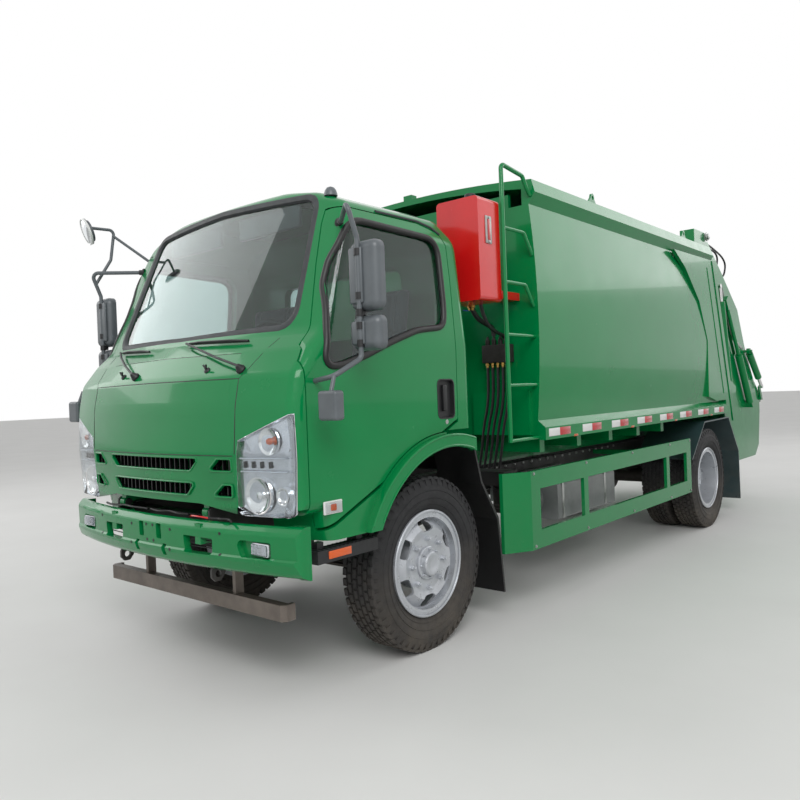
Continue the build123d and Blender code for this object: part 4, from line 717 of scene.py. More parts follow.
def woven_finish(name, colour, pitch=0.0024):
    """Seat cloth: two crossing sets of threads with a soft sheen."""
    material, shader = blank_finish(name)
    coords = add(material, "ShaderNodeTexCoord")
    threads = []
    values = {"Scale": 1 / pitch / 6.3, "Distortion": 1.2, "Detail": 2.0}
    for direction in ("DIAGONAL", "Z"):
        wave = add(material, "ShaderNodeTexWave", values, bands_direction=direction)
        wire(material, coords, "Object", wave, "Vector")
        threads.append(wave)
    weave = add(material, "ShaderNodeMath", operation="MULTIPLY")
    wire(material, threads[0], "Fac", weave, 0)
    wire(material, threads[1], "Fac", weave, 1)
    tone = two_tone(material, coords, 14.0, scaled(colour, 0.8), scaled(colour, 1.15))
    mixed(material, tone, scaled(colour, 1.7), weave, 0)
    raise_pattern(material, shader, weave, 0, 0.001)
    set_roughness(material, shader, coords, 20.0, 0.75, 0.9)
    shader.inputs["Sheen Weight"].default_value = 0.3


class GARBAGETRUCK_OT_finishes(bpy.types.Operator):
    """Makes the finishes and gives them to the CAD parts"""

    bl_idname = "garbage_truck.finishes"
    bl_label = "Finishes"

    def execute(self, context):
        c = settings().colours
        green, dust = tuple(c.green), tuple(c.dust)
        plain_finish(
            "green paint", green, 0.2, coat=0.35, blotch=1.6, grain=240, depth=0.0003, contrast=0.07,
            dust=0.1, dust_top=0.9, dust_colour=dust, strength=0.1, specular=0.22,
        )
        plain_finish(
            "guard paint", tuple(c.guard), 0.35, coat=0.35, blotch=4, grain=180, contrast=0.2, dust=0.3,
            dust_colour=dust,
        )
        plain_finish(
            "red paint", tuple(c.red), 0.2, coat=0.6, blotch=2.5, grain=240, depth=0.0003, contrast=0.12,
            strength=0.16,
        )
        plain_finish(
            "chassis paint", tuple(c.black), 0.5, coat=0.1, blotch=7, grain=150, depth=0.0006, contrast=0.4,
            dust=0.42, dust_top=1.0, dust_colour=dust,
        )
        plain_finish(
            "grey paint", tuple(c.grey), 0.4, coat=0.15, blotch=6, grain=180, contrast=0.2, dust=0.1,
            dust_colour=dust,
        )
        plain_finish(
            "wheel silver", tuple(c.wheel), 0.32, metallic=0.35, coat=0.35, blotch=9, grain=260,
            contrast=0.12, dust=0.2, dust_top=0.9, dust_colour=dust, strength=0.2,
        )
        plain_finish(
            "tyre rubber", tuple(c.rubber), 0.78, blotch=11, grain=420, depth=0.0006, contrast=0.35,
            dust=0.42, dust_top=0.62, dust_colour=dust, strength=0.5,
        )
        plain_finish("seal rubber", linear(52, 56, 58), 0.6, blotch=14, grain=380, depth=0.0004, contrast=0.3)
        plain_finish(
            "hose rubber", linear(20, 20, 21), 0.45, blotch=20, grain=500, depth=0.0005, contrast=0.3
        )
        plain_finish(
            "black plastic", tuple(c.plastic), 0.48, blotch=9, grain=700, depth=0.0005, contrast=0.3,
            strength=0.45,
        )
        plain_finish(
            "mirror plastic", tuple(c.mirror_grey), 0.38, blotch=7, grain=900, depth=0.0002, contrast=0.14,
            strength=0.12,
        )
        plain_finish(
            "cast iron", linear(58, 56, 54), 0.62, metallic=0.5, blotch=9, grain=120, depth=0.001,
            contrast=0.4, dust=0.35, dust_colour=dust, strength=0.5,
        )
        plain_finish(
            "chrome", linear(206, 208, 212), 0.14, metallic=1.0, blotch=12, grain=320, depth=0.0002,
            contrast=0.08, strength=0.08, spread=0.05,
        )
        plain_finish(
            "zinc plate", linear(176, 178, 176), 0.34, metallic=0.9, blotch=24, grain=420, depth=0.0003,
            contrast=0.25,
        )
        plain_finish(
            "brass", linear(186, 150, 82), 0.3, metallic=0.95, blotch=22, grain=420, depth=0.0003,
            contrast=0.25,
        )
        plain_finish(
            "white plastic", linear(222, 224, 222), 0.35, blotch=9, grain=500, depth=0.0003, contrast=0.08,
            coat=0.3,
        )
        plain_finish(
            "lamp silver", linear(214, 218, 224), 0.18, metallic=0.85, blotch=12, grain=200, depth=0.0003,
            contrast=0.12, strength=0.15,
        )
        plain_finish(
            "bare steel", linear(112, 104, 98), 0.46, metallic=0.55, blotch=8, grain=150, depth=0.0008,
            contrast=0.35, dust=0.3, dust_colour=dust,
        )
        plain_finish("blue paint", linear(24, 70, 170), 0.35, coat=0.3, blotch=12, grain=240, contrast=0.2)
        # The near-black colour is painted shade for the inside of the grille's slots.
        grille_with_slot_shade("grille paint and slot shade", green, linear(16, 17, 18))
        glass_finish("window glass", linear(188, 206, 204), 0.0)
        glass_finish("lens glass", linear(236, 240, 242), 0.02, ripple=0.0012, ripple_scale=34.0)
        glass_finish("clear lens", linear(240, 244, 246), 0.01)
        lens_finish("red lens", tuple(c.red_lens))
        lens_finish("orange lens", tuple(c.orange))
        lens_finish("white reflector", linear(226, 228, 226))
        woven_finish("seat cloth", tuple(c.fabric))
        plain_finish(
            "mirror silver", linear(228, 232, 234), 0.04, metallic=1.0, blotch=5, grain=60, depth=0.0001,
            contrast=0.03, strength=0.03, spread=0.02,
        )
        by_slot = {
            "green_paint": "green paint", "red_paint": "red paint", "black_paint": "chassis paint",
            "guard_paint": "guard paint", "wheel_paint": "wheel silver", "tyre": "tyre rubber",
            "black_plastic": "black plastic", "rubber": "hose rubber", "glass": "window glass",
            "lamp_glass": "clear lens", "red_lens": "red lens", "seat_fabric": "seat cloth",
            "chrome": "chrome", "cast_iron": "cast iron", "grey_paint": "grey paint",
        }
        by_node = {
            "grille": "grille paint and slot shade", "underrun_bar": "bare steel", "left_mirrors": "mirror plastic",
            "right_mirrors": "mirror plastic", "rear_axle": "cast iron",
        }
        for name, node in NODES.items():
            for holder in node.material_slots:
                slot = holder.material.name.split(".")[0] if holder.material else ""
                holder.material = bpy.data.materials[by_node.get(name) or by_slot.get(slot, "chassis paint")]
        return {"FINISHED"}


# Stage

CAMERA_PLACE = (3.4805, -5.9974, 1.4370)
# Yaw, pitch and roll, in degrees
CAMERA_ANGLES = (40.5, -0.6, -2.2)


class GARBAGETRUCK_OT_stage(bpy.types.Operator):
    """Makes the floor, the light and the camera at the photograph's place"""

    bl_idname = "garbage_truck.stage"
    bl_label = "Stage"

    def execute(self, context):
        sizes = settings().stage
        scene = context.scene
        scene.view_settings.view_transform = "Standard"
        deselect()
        bpy.ops.mesh.primitive_plane_add(size=sizes.floor, location=(0, 0, 0))
        floor = bpy.context.object
        floor.name = "floor"
        plain_finish(
            "pale floor", linear(226, 226, 224), 0.6, blotch=0.7, grain=30, depth=0.0005, contrast=0.03,
            strength=0.1,
        )
        floor.data.materials.append(bpy.data.materials["pale floor"])

        world = bpy.data.worlds.new("studio")
        scene.world = world
        world.use_nodes = True
        light = world.node_tree.nodes["Background"]
        path = add(world, "ShaderNodeLightPath")
        first = add(world, "ShaderNodeMath", operation="MAXIMUM")
        second = add(world, "ShaderNodeMath", operation="MAXIMUM")
        wire(world, path, "Is Camera Ray", first, 0)
        wire(world, path, "Is Glossy Ray", first, 1)
        wire(world, first, 0, second, 0)
        wire(world, path, "Is Transmission Ray", second, 1)
        strength = add(world, "ShaderNodeMapRange", {"To Min": sizes.sky, "To Max": 1.0})
        wire(world, second, 0, strength, "Value")
        wire(world, strength, "Result", light, "Strength")
        set_inputs(light, {"Color": (1, 1, 1, 1)})

        for name, place, width, power in (
            ("key lamp", (7.5, -9.0, 8.0), 6.0, sizes.key),
            ("fill lamp", (-9.0, -6.0, 6.5), 7.0, sizes.fill),
            ("rear lamp", (5.0, 11.0, 7.5), 7.0, sizes.fill),
        ):
            bpy.ops.object.light_add(type="AREA", location=place)
            lamp = bpy.context.object
            lamp.name = name
            lamp.data.shape = "SQUARE"
            lamp.data.size = width
            lamp.data.energy = power
            lamp.rotation_euler = (Vector((0, 0, 1.0)) - Vector(place)).to_track_quat("-Z", "Y").to_euler()

        bpy.ops.object.camera_add()
        camera = bpy.context.object
        camera.name = "camera"
        camera.data.lens = sizes.lens
        camera.data.sensor_width = 36
        camera.data.clip_end = 400
        yaw, pitch, roll = map(math.radians, CAMERA_ANGLES)
        forward = Vector((-math.sin(yaw) * math.cos(pitch), math.cos(yaw) * math.cos(pitch), math.sin(pitch)))
        right = Vector((math.cos(yaw), math.sin(yaw), 0))
        above = right.cross(forward)
        across = right * math.cos(roll) + above * math.sin(roll)
        upward = above * math.cos(roll) - right * math.sin(roll)
        turn = Matrix((across, upward, -forward)).transposed().to_4x4()
        camera.matrix_world = Matrix.Translation(CAMERA_PLACE) @ turn
        scene.camera = camera
        return {"FINISHED"}


# Tyres and wheels

TYRE_SECTION = [
    (-83, 266), (-84, 292), (-92, 306), (-106, 330), (-114, 352), (-118, 376), (-118, 398), (-115, 418),
    (-112, 424), (-112, 432), (-107, 446), (-99, 462), (-92, 469), (-84, 470.5), (-60, 471),
]
SIDE_BEADS = [(-104, 326), (-116.5, 362), (-117.5, 405)]
TREAD_RADIUS = 0.470
NOTCH_BOTTOM = 0.434
SHOULDER_X = 0.0925
FRONT_TYRE_X = 840
REAR_OUTER_SHIFT = 0.152
REAR_INNER_SHIFT = -0.124
# Place across, width, the share of the pitch that is rubber, and whether the row is set off by half a pitch
TREAD_ROWS = [
    (-SHOULDER_X, 0.030, 0.74, False), (-0.0555, 0.026, 0.86, True), (-0.0185, 0.026, 0.86, False),
    (0.0185, 0.026, 0.86, True), (0.0555, 0.026, 0.86, False), (SHOULDER_X, 0.030, 0.74, True),
]


def tread_row(centre, row, pitch, lugs, depth):
    """One row of blocks round the tread, each narrower at its top."""
    x, width, share, set_off = row
    half = pitch * share / 2
    low = centre + Vector((x - width / 2, -half, TREAD_RADIUS - 0.004))
    high = centre + Vector((x + width / 2, half, TREAD_RADIUS + depth))
    lug = slab(low, high)
    edit_faces(lug, looks_up)
    bpy.ops.transform.resize(value=(0.86, 0.9, 1), center_override=(low + high) / 2)
    if abs(x) == SHOULDER_X:
        bpy.ops.transform.translate(value=(-math.copysign(0.004, x), 0, 0))
    close_edit()
    if set_off:
        open_edit(lug)
        bpy.ops.transform.rotate(value=math.pi / lugs, orient_axis="X", center_override=centre)
        close_edit()
    round_about(lug, lugs, centre, ACROSS)
    return lug


def shoulder_notches(centre, side, pitch, lugs):
    """The ribs down one shoulder, under the outer row of blocks."""
    low = centre + Vector((side * 0.097, -pitch * 0.3, NOTCH_BOTTOM))
    high = centre + Vector((side * 0.1135, pitch * 0.3, TREAD_RADIUS))
    notch = slab(low, high)
    edit_faces(notch, looks_up)
    bpy.ops.transform.translate(value=(-side * 0.011, 0, 0.006))
    close_edit()
    round_about(notch, lugs, centre, ACROSS)
    return notch


def tyre(centre, steps, lugs, depth):
    """A tyre with beaded side walls, shoulder lugs and a ribbed tread, about the wheel's axis."""
    half = TYRE_SECTION + [(-x, r) for x, r in reversed(TYRE_SECTION)]
    parts = [ring(centre, ACROSS, [(x / 1000, r / 1000) for x, r in half], steps)]
    for x, bead_radius in SIDE_BEADS:
        radius = bead_radius / 1000
        for side in (1, -1):
            mid = side * x / 1000
            section = [
                (mid - 0.003, radius - 0.004), (mid + side * 0.0022, radius), (mid - 0.003, radius + 0.004),
                (mid + 0.003, radius),
            ]
            parts.append(ring(centre, ACROSS, section, steps))
    pitch = 2 * math.pi * TREAD_RADIUS / lugs
    for row in TREAD_ROWS:
        parts.append(tread_row(centre, row, pitch, lugs, depth))
    for side in (1, -1):
        parts.append(shoulder_notches(centre, side, pitch, lugs))
    return joined(parts)


class GARBAGETRUCK_OT_tyres(bpy.types.Operator):
    """Makes the treaded tyres in place of the plain ones"""

    bl_idname = "garbage_truck.tyres"
    bl_label = "Tyres"

    def execute(self, context):
        sizes = settings().tyres
        front = tyre(at(FRONT_TYRE_X, 0, AXLE_HEIGHT), sizes.steps, sizes.lugs, sizes.depth)
        outer = copied(front, (REAR_OUTER_SHIFT, WHEELBASE / 1000, 0))
        inner = copied(front, (REAR_INNER_SHIFT, WHEELBASE / 1000, 0))
        rear = joined([inner, outer])
        for piece, place, tyre_word, wheel_word in (
            (front, "front", "tyre", "wheel"), (rear, "rear", "tyres", "wheels"),
        ):
            other = mirrored(piece)
            for side, part in (("left", piece), ("right", other)):
                body = f"{side}_{place}_{wheel_word}"
                finished(part, f"{side}_{place}_treaded_{tyre_word}", body, TYRE_RUBBER, 40)
                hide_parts(f"{side}_{place}_{tyre_word}")
        return {"FINISHED"}


SIDE_RING = [
    (0.934, 0.294), (0.9395, 0.297), (0.9440, 0.292), (0.9440, 0.286), (0.938, 0.283), (0.932, 0.287),
]
BEAD_LIP = [
    (0.900, 0.2545), (0.930, 0.2545), (0.9345, 0.262), (0.9345, 0.270), (0.930, 0.268), (0.927, 0.258),
    (0.900, 0.2575),
]
HUB_CAP = [
    (0.925, 0.092), (0.936, 0.092), (0.939, 0.088), (0.939, 0.070), (0.962, 0.066), (0.9675, 0.060),
    (0.9675, 0.040), (0.965, 0.036), (0.965, 0.006),
]
HUB_FLANGE = [
    (0.974, 0.118), (0.986, 0.118), (0.989, 0.114), (0.989, 0.070), (1.000, 0.064), (1.0015, 0.05),
    (1.0015, 0.006),
]
FRONT_VALVE = ((0.898, 0.02, 0.232), (0.920, 0.022, 0.226), (0.952, 0.024, 0.206))
REAR_VALVE = ((0.93, 0.02, 0.215), (0.99, 0.022, 0.222), (1.05, 0.024, 0.214))
WHEEL_NUTS = 8
NUT_CIRCLE = 0.1375


def wheel_nut(centre, reach=0.024, across=0.015):
    """A hexagon nut with its washer and stud end, looking outwards."""
    washer = turned(centre, ACROSS, [(0, across * 1.25), (0.004, across * 1.2)], 16)
    nut_section = [(0, across), (reach * 0.72, across), (reach * 0.86, across * 0.8)]
    nut = turned(centre + ACROSS * 0.004, ACROSS, nut_section, 6)
    stud_section = [(0, across * 0.55), (reach, across * 0.55), (reach + 0.002, across * 0.4)]
    stud = turned(centre + ACROSS * 0.01, ACROSS, stud_section, 10)
    return joined([washer, nut, stud])


def rim_fittings(hub, shift, nut_x, valve):
    """The nuts of a wheel, the two rings of its rim and its valve."""
    nut = wheel_nut(hub + Vector((nut_x, 0, NUT_CIRCLE)))
    round_about(nut, WHEEL_NUTS, hub, ACROSS)
    parts = [nut]
    for section in (SIDE_RING, BEAD_LIP):
        parts.append(ring(hub, ACROSS, [(x + shift, radius) for x, radius in section], 64))
    parts.append(line_piece([hub + Vector(p) for p in valve], 0.0045))
    return joined(parts)


def hub_middle(hub, section, bolt_place, count, reach, across):
    """The cap or flange in the middle of a wheel with its ring of bolts."""
    middle = turned(hub, ACROSS, section, 40)
    bolt = wheel_nut(hub + Vector(bolt_place), reach, across)
    round_about(bolt, count, hub, ACROSS)
    return joined([middle, bolt])


class GARBAGETRUCK_OT_wheels(bpy.types.Operator):
    """Makes the wheel nuts, hub caps, side rings and valves"""

    bl_idname = "garbage_truck.wheels"
    bl_label = "Wheel fittings"

    def execute(self, context):
        hub = at(0, 0, AXLE_HEIGHT)
        rings = rim_fittings(hub, 0, 0.921, FRONT_VALVE)
        both_sides(rings, "front_wheel_rings", "{side}_front_wheel", WHEEL_SILVER)
        cap = hub_middle(hub, HUB_CAP, (0.939, 0, 0.079), 8, 0.008, 0.006)
        both_sides(cap, "front_hub_cap", "{side}_front_wheel", WHEEL_SILVER)
        hub = at(0, WHEELBASE, AXLE_HEIGHT)
        rings = rim_fittings(hub, REAR_OUTER_SHIFT, 0.880, REAR_VALVE)
        both_sides(rings, "rear_wheel_rings", "{side}_rear_wheels", WHEEL_SILVER)
        flange = hub_middle(hub, HUB_FLANGE, (0.989, 0, 0.096), 10, 0.010, 0.008)
        both_sides(flange, "rear_hub_flange", "{side}_rear_wheels", WHEEL_SILVER)
        return {"FINISHED"}


# Cab

WINDSCREEN = [
    (-812, 1770, 90), (-736, 2468, 90), (0, 2496, 0), (736, 2468, 90), (812, 1770, 90), (0, 1756, 0)
]
DOOR_WINDOW = [
    (-690, 2040, 0), (-838, 1560, 40), (-700, 1572, 60), (-541, 1619, 0), (-336, 1695, 0), (-113, 1764, 120),
    (130, 1790, 45), (150, 1919, 0), (158, 2300, 90), (-545, 2318, 120),
]


def nose_line(x):
    """The y of the cab's bowed front at x, in millimetres."""
    return NOSE_Y + x * x / (2 * BOW_RADIUS)


def windscreen_line(z):
    """The centre line of the windscreen's outer surface at a height, in millimetres."""
    glass = surface("windscreen")
    low = glass.ray_cast(at(0, -1500, 1800), ALONG)[0]
    high = glass.ray_cast(at(0, -1500, 2440), ALONG)[0]
    share = (z / 1000 - low.z) / (high.z - low.z)
    return ((low.y + (high.y - low.y) * share) - FRONT_AXLE_Y) * 1000


def bowed_point(x, z, line_y, out):
    """The point at x and z of the bowed front, moved outwards, from the centre line's y."""
    radius = BOW_AXIS_Y - line_y
    back = math.sqrt(radius * radius - x * x)
    return at(x, BOW_AXIS_Y - back - out, z)


# How far a ring of the windscreen's rubber lies outside the glass, in widths, and how far it stands out
SEAL_SECTION = ((0.42, -12), (0.42, 13), (0.30, 17), (-0.3, 15), (-0.42, 8), (-0.58, -1))
SEAL_POINTS = 150
DOOR_SEAL_RADIUS = 0.018


def door_window_rim():
    """Even points round the edge of the left door's glass, just outside it."""
    rim = []
    for y, z in even_outline(corner_rounded(DOOR_WINDOW, -5), SEAL_POINTS):
        for shift in range(0, 300, 4):
            hit = meet(("left_door_glass",), at(1600, y + shift, z), -ACROSS)
            if hit:
                rim.append(tuple(hit[1] + ACROSS * 0.011))
                break
    rim = even_outline(rim, SEAL_POINTS)
    points = []
    for index in range(SEAL_POINTS):
        near = [Vector(rim[(index + step) % SEAL_POINTS]) for step in (-2, -1, 0, 1, 2)]
        points.append(sum(near, Vector()) / len(near))
    return points


class GARBAGETRUCK_OT_seals(bpy.types.Operator):
    """Makes the rubber seals of the windscreen and the door windows"""

    bl_idname = "garbage_truck.seals"
    bl_label = "Window seals"

    def execute(self, context):
        width = settings().trim.seal * 1000
        loops = []
        for grow, out in SEAL_SECTION:
            outline = even_outline(corner_rounded(WINDSCREEN, grow * width), SEAL_POINTS)
            loops.append([bowed_point(x, z, windscreen_line(z), out) for x, z in outline])
        finished(skin(loops), "windscreen_seal", "cab", SEAL_RUBBER, 50)
        seal = line_piece(door_window_rim(), DOOR_SEAL_RADIUS, sides=4, closed=True)
        both_sides(seal, "door_window_seal", "{side}_door", HOSE_RUBBER, 50)
        return {"FINISHED"}


COVER_THICKNESS = 0.004
LAMP_DEPTH = 0.026
LAMP = ("headlamps",)
MAIN_BOWL = [
    (-0.002, 0.012), (0.001, 0.039), (0.008, 0.06708), (0.019, 0.078), (0.0205, 0.082), (0.0205, 0.087),
    (0.0, 0.087),
]
MAIN_BULB = [(0, 0.016), (0.012, 0.018), (0.016, 0.012), (0.017, 0.003)]
TURN_BULB = [(0.0, 0.015), (0.010, 0.016), (0.017, 0.012), (0.019, 0.003)]
MAIN_PLACE = (787, 985)
SMALL_PLACE = (925, 985)
TURN_PLACE = (862, 1236)


def lamp_front(centre, normal):
    return centre.x > 0 and normal.x * 0.3 - normal.y > 0.25


def lamp_wall(centre, normal):
    edge = abs(normal.x * 0.3 - normal.y) <= 0.25 or abs(normal.z) > 0.8 or normal.y > 0.8
    return centre.x > 0 and edge


def bowl(radius, depth, rim):
    """The section of a small round reflector and its rim."""
    return [
        (-0.002, 0.01), (0.001, radius * 0.5), (0.006, radius * 0.86), (depth, radius),
        (depth + 0.001, radius + rim), (0.0, radius + rim),
    ]


def in_lamp(place, section, steps):
    """A round part on the headlamp's backing at (x, z), looking out of the lamp."""
    front, normal = on_front(*place, LAMP)
    look = Vector((0.35 * normal.x, normal.y, 0)).normalized()
    return turned(front - look * LAMP_DEPTH, look, section, steps)


class GARBAGETRUCK_OT_headlamps(bpy.types.Operator):
    """Makes the headlamps: housing, silver bowl, turn lamp, two round reflectors and a clear cover"""

    bl_idname = "garbage_truck.headlamps"
    bl_label = "Headlamps"

    def execute(self, context):
        cover = copy_of_node("headlamps")
        keep_faces(cover, lamp_front)
        backing = copied(cover)
        modify(cover, "SOLIDIFY", thickness=COVER_THICKNESS, offset=-1)
        cover_right = mirrored(cover)
        open_edit(backing)
        bpy.ops.transform.shrink_fatten(value=-LAMP_DEPTH)
        close_edit()
        modify(backing, "SOLIDIFY", thickness=0.004, offset=0)
        housing = copy_of_node("headlamps")
        keep_faces(housing, lamp_wall)
        modify(housing, "SOLIDIFY", thickness=0.003, offset=-1)
        both_sides(housing, "headlamp_housing", "cab", LAMP_SILVER)
        both_sides(backing, "headlamp_backing", "cab", LAMP_SILVER, 50)
        for side, part in (("left", cover), ("right", cover_right)):
            finished(part, f"{side}_headlamp_cover", "cab", CLEAR_LENS, 50)
            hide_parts("headlamps")

        bowls = [
            in_lamp(MAIN_PLACE, MAIN_BOWL, 48), in_lamp(MAIN_PLACE, MAIN_BULB, 24),
            in_lamp(SMALL_PLACE, bowl(0.036, 0.016, 0.006), 32),
            in_lamp(TURN_PLACE, bowl(0.058, 0.015, 0.005), 40),
        ]
        both_sides(joined(bowls), "headlamp_reflectors", "cab", CHROME, 50)
        both_sides(in_lamp(TURN_PLACE, TURN_BULB, 20), "turn_lamp_bulb", "cab", ORANGE_LENS, 50)

        bars = []
        for x in (712, 762, 812, 862):
            place = on_front(x, 1128, LAMP)[0]
            bars.append(slab(
                place + Vector((-0.007, 0.014, -0.015)), place + Vector((0.007, 0.030, 0.015)), 2
            ))
        both_sides(joined(bars), "headlamp_slits", "cab", BLACK_PLASTIC)
        shelves = []
        for z in (1158, 1097):
            points = []
            for x in (676, 690, 710, 730, 790, 850, 910, 935, 950, 960):
                hit = meet(LAMP, at(x, -1700, z), ALONG)
                if hit:
                    points.append(hit[1] + ALONG * 0.013)
            shelves.append(line_piece(points, 0.0045))
        both_sides(joined(shelves), "headlamp_shelves", "cab", LAMP_SILVER)
        return {"FINISHED"}


def seam(points, radius=0.002):
    """A dark joint line between two panels, half sunk, through (x, z) points of the front."""
    places = []
    for start, end in zip(points[:-1], points[1:]):
        count = max(2, int(math.dist(start, end) / 60))
        for k in range(count):
            share = k / count
            places.append((start[0] + (end[0] - start[0]) * share, start[1] + (end[1] - start[1]) * share))
    places.append(points[-1])
    line = []
    for x, z in places:
        place, normal = on_front(x, z, ("cab_shell", "hood_panel", "grille"))
        line.append(place - normal * 0.0006)
    return line_piece(line, radius)


GRILLE_SLOTS = [
    [(-415, 1152, 8), (415, 1152, 8), (352, 1094, 14), (-352, 1094, 14)],
    [(-378, 1030, 8), (378, 1030, 8), (325, 974, 14), (-325, 974, 14)],
    [(552, 1150, 6), (640, 1150, 6), (640, 1098, 6), (492, 1098, 6)],
    [(585, 1028, 6), (640, 1028, 6), (640, 976, 6), (520, 976, 6)],
]


class GARBAGETRUCK_OT_panel_lines(bpy.types.Operator):
    """Makes the joint lines of the hood and cowl and the raised rims of the grille slots"""

    bl_idname = "garbage_truck.panel_lines"
    bl_label = "Panel lines"

    def execute(self, context):
        half_hood = [(673, 1531), (672, 1400), (668, 1178)]
        left_hood = [(-x, z) for x, z in reversed(half_hood)]
        cowl_end = [(673, 1531), (700, 1560), (735, 1640), (770, 1720)]
        lines = [
            seam(left_hood + [(0, 1534)] + half_hood, 0.0026),
            seam([(-655, 1169), (0, 1169), (655, 1169)]),
            seam([(-597, 1655), (0, 1662), (597, 1655)], 0.0018),
            seam(cowl_end, 0.0018),
            seam([(-x, z) for x, z in cowl_end], 0.0018),
        ]
        finished(joined(lines), "hood_joint_lines", "cab", HOSE_RUBBER)
        rims = []
        for slot in GRILLE_SLOTS:
            sides = (1,) if slot[0][0] < 0 else (1, -1)
            for side in sides:
                outline = even_outline(corner_rounded(slot, 4), 90)
                places = []
                for x, z in outline:
                    place = on_front(side * x, z, ("grille",))[0]
                    place.y = min(place.y, at(0, nose_line(x), 0).y + 0.004)
                    places.append(place)
                rims.append(line_piece(places, 0.0048, closed=True))
        finished(joined(rims), "grille_slot_rims", "cab", GREEN_PAINT)
        return {"FINISHED"}


GLASS_AND_COWL = ("cab_shell", "hood_panel", "windscreen")
BUMPER = ("front_bumper",)
WIPER_PIVOT = [(0, 0.024), (0.010, 0.024), (0.016, 0.019), (0.030, 0.013), (0.036, 0.009), (0.038, 0.002)]
# Pivot and end of the arm, then the two ends of the blade, each as (x, z)
WIPERS = (
    ((666, 1572), (120, 1718), (600, 1706), (110, 1724)),
    ((-200, 1572), (-640, 1718), (-240, 1706), (-640, 1724)),
)


def over_cowl(start, end, shares, lift):
    """Points over the cowl and glass from one (x, z) to another; lift gives the height at a share."""
    points = []
    for share in shares:
        x = start[0] + (end[0] - start[0]) * share
        z = start[1] + (end[1] - start[1]) * share
        place, normal = on_front(x, z, GLASS_AND_COWL)
        points.append(place + normal * lift(share))
    return points


def wiper(pivot, arm_end, blade_start, blade_end):
    """A wiper: pivot cap, arm, blade frame and rubber."""
    base, normal = on_front(*pivot)
    cap = turned(base - ALONG * 0.001, normal, WIPER_PIVOT, 20)
    arm = over_cowl(pivot, arm_end, (0.0, 0.1, 0.35, 0.7, 1.0), lambda share: 0.032 if share < 1 else 0.026)
    shares = (0.0, 0.25, 0.5, 0.75, 1.0)
    bridge = over_cowl(blade_start, blade_end, shares, lambda share: 0.024 if 0 < share < 1 else 0.017)
    rubber = over_cowl(blade_start, blade_end, shares, lambda share: 0.012)
    return [cap, line_piece(arm, 0.0065), line_piece(bridge, 0.0055), line_piece(rubber, 0.0045)]


class GARBAGETRUCK_OT_front_trim(bpy.types.Operator):
    """Makes the wipers, washer nozzles, fog lamps, black discs painted as the shade in the bumper's bolt
    holes, vents and the cable over the bumper
    """

    bl_idname = "garbage_truck.front_trim"
    bl_label = "Front trim"

    def execute(self, context):
        parts = []
        for places in WIPERS:
            parts += wiper(*places)
        finished(joined(parts), "windscreen_wipers", "cab", BLACK_PLASTIC)

        nozzles = []
        for x in (-359, 426):
            place, normal = on_front(x, 1580)
            body = [(-0.002, 0.017), (0.004, 0.017), (0.009, 0.012), (0.012, 0.004)]
            nozzles.append(turned(place, normal, body, 20))
            tip = place + normal * 0.012
            for side in (1, -1):
                end = tip + normal * 0.008 + Vector((side * 0.012, 0, 0.016))
                nozzles.append(line_piece([tip, end], 0.005))
        finished(joined(nozzles), "washer_nozzles", "cab", BLACK_PLASTIC)

        face = on_front(800, 690, BUMPER)[0].y
        low, high = at(742, 0, 708), at(862, 0, 771)
        edge = 0.006
        lamp = slab((low.x, face + 0.012, low.z), (high.x, face + 0.050, high.z), 8)
        lens = slab(
            (low.x + edge, face + 0.004, low.z + edge), (high.x - edge, face + 0.014, high.z - edge), 4
        )
        both_sides(lamp, "fog_lamp_body", "chassis", LAMP_BODY)
        both_sides(lens, "fog_lamp_lens", "chassis", RIPPLED_LENS)

        # Black discs on the bumper stand for its bolt holes: painted shade, not real bolts.
        bolts = []
        hole_shade_disc = [(-0.003, 0.008), (0.0012, 0.008), (0.0014, 0.005), (0.0004, 0.002)]
        for x, z in ((30, 720), (30, 800), (185, 790), (185, 690), (560, 800), (560, 700)):
            for side in (1, -1):
                place, normal = on_front(side * x, z, BUMPER)
                bolts.append(turned(place, normal, hole_shade_disc, 14))
        finished(joined(bolts), "bumper_hole_shades", "chassis", BLACK_PLASTIC)

        vent = []
        for side in (1, -1):
            for z in (715, 733, 751):
                points = [at(side * x, nose_line(x) + 26, z) for x in (300, 350, 400, 450, 505)]
                vent.append(line_piece(points, 0.003))
        finished(joined(vent), "bumper_vent_bars", "chassis", BLACK_PLASTIC)

        route = (
            (280, -1082, 855), (315, -1106, 866), (372, -1110, 868), (425, -1104, 866), (450, -1078, 856)
        )
        cable = line_piece([at(*place) for place in route], 0.004, smooth=True)
        finished(cable, "red_battery_cable", "chassis", RED_PAINT)
        looms = []
        for start, end, height in ((-560, -120, 867), (-90, 260, 866), (460, 640, 865)):
            points = []
            for k in range(7):
                x = start + (end - start) * k / 6
                points.append(at(x, -1088 - 12 * math.sin(k * 2.1 + start), height - 3 * math.sin(k * 1.3)))
            looms.append(line_piece(points, 0.006, smooth=True))
        finished(joined(looms), "front_wiring_looms", "chassis", HOSE_RUBBER)
        return {"FINISHED"}


def plate_on_side(y0, y1, z0, z1, out, thickness, edge):
    """A thin block on the left side, its inner face at out from the truck's middle, in millimetres."""
    return slab(at(out, y0, z0), at(out + thickness, y1, z1), edge)


HANDLE_RECESS = [(33, 1285, 26), (180, 1285, 26), (180, 1497, 26), (33, 1497, 26)]
# How far a ring of the recess lies outside its outline, and its x
RECESS_RINGS = ((5, 1017.6), (5, 1019.4), (-1, 1019.6), (-2, 1012), (-3, 998))
MIRROR_TUBE = (1180, -740)
DRIP_RAIL = (
    (-836, 1769), (-790, 1930), (-748, 2090), (-712, 2200), (-682, 2306), (-640, 2352), (-560, 2392),
    (-300, 2394), (40, 2394), (150, 2372), (206, 2336),
)
ARCH_CENTRE = (98, 434)


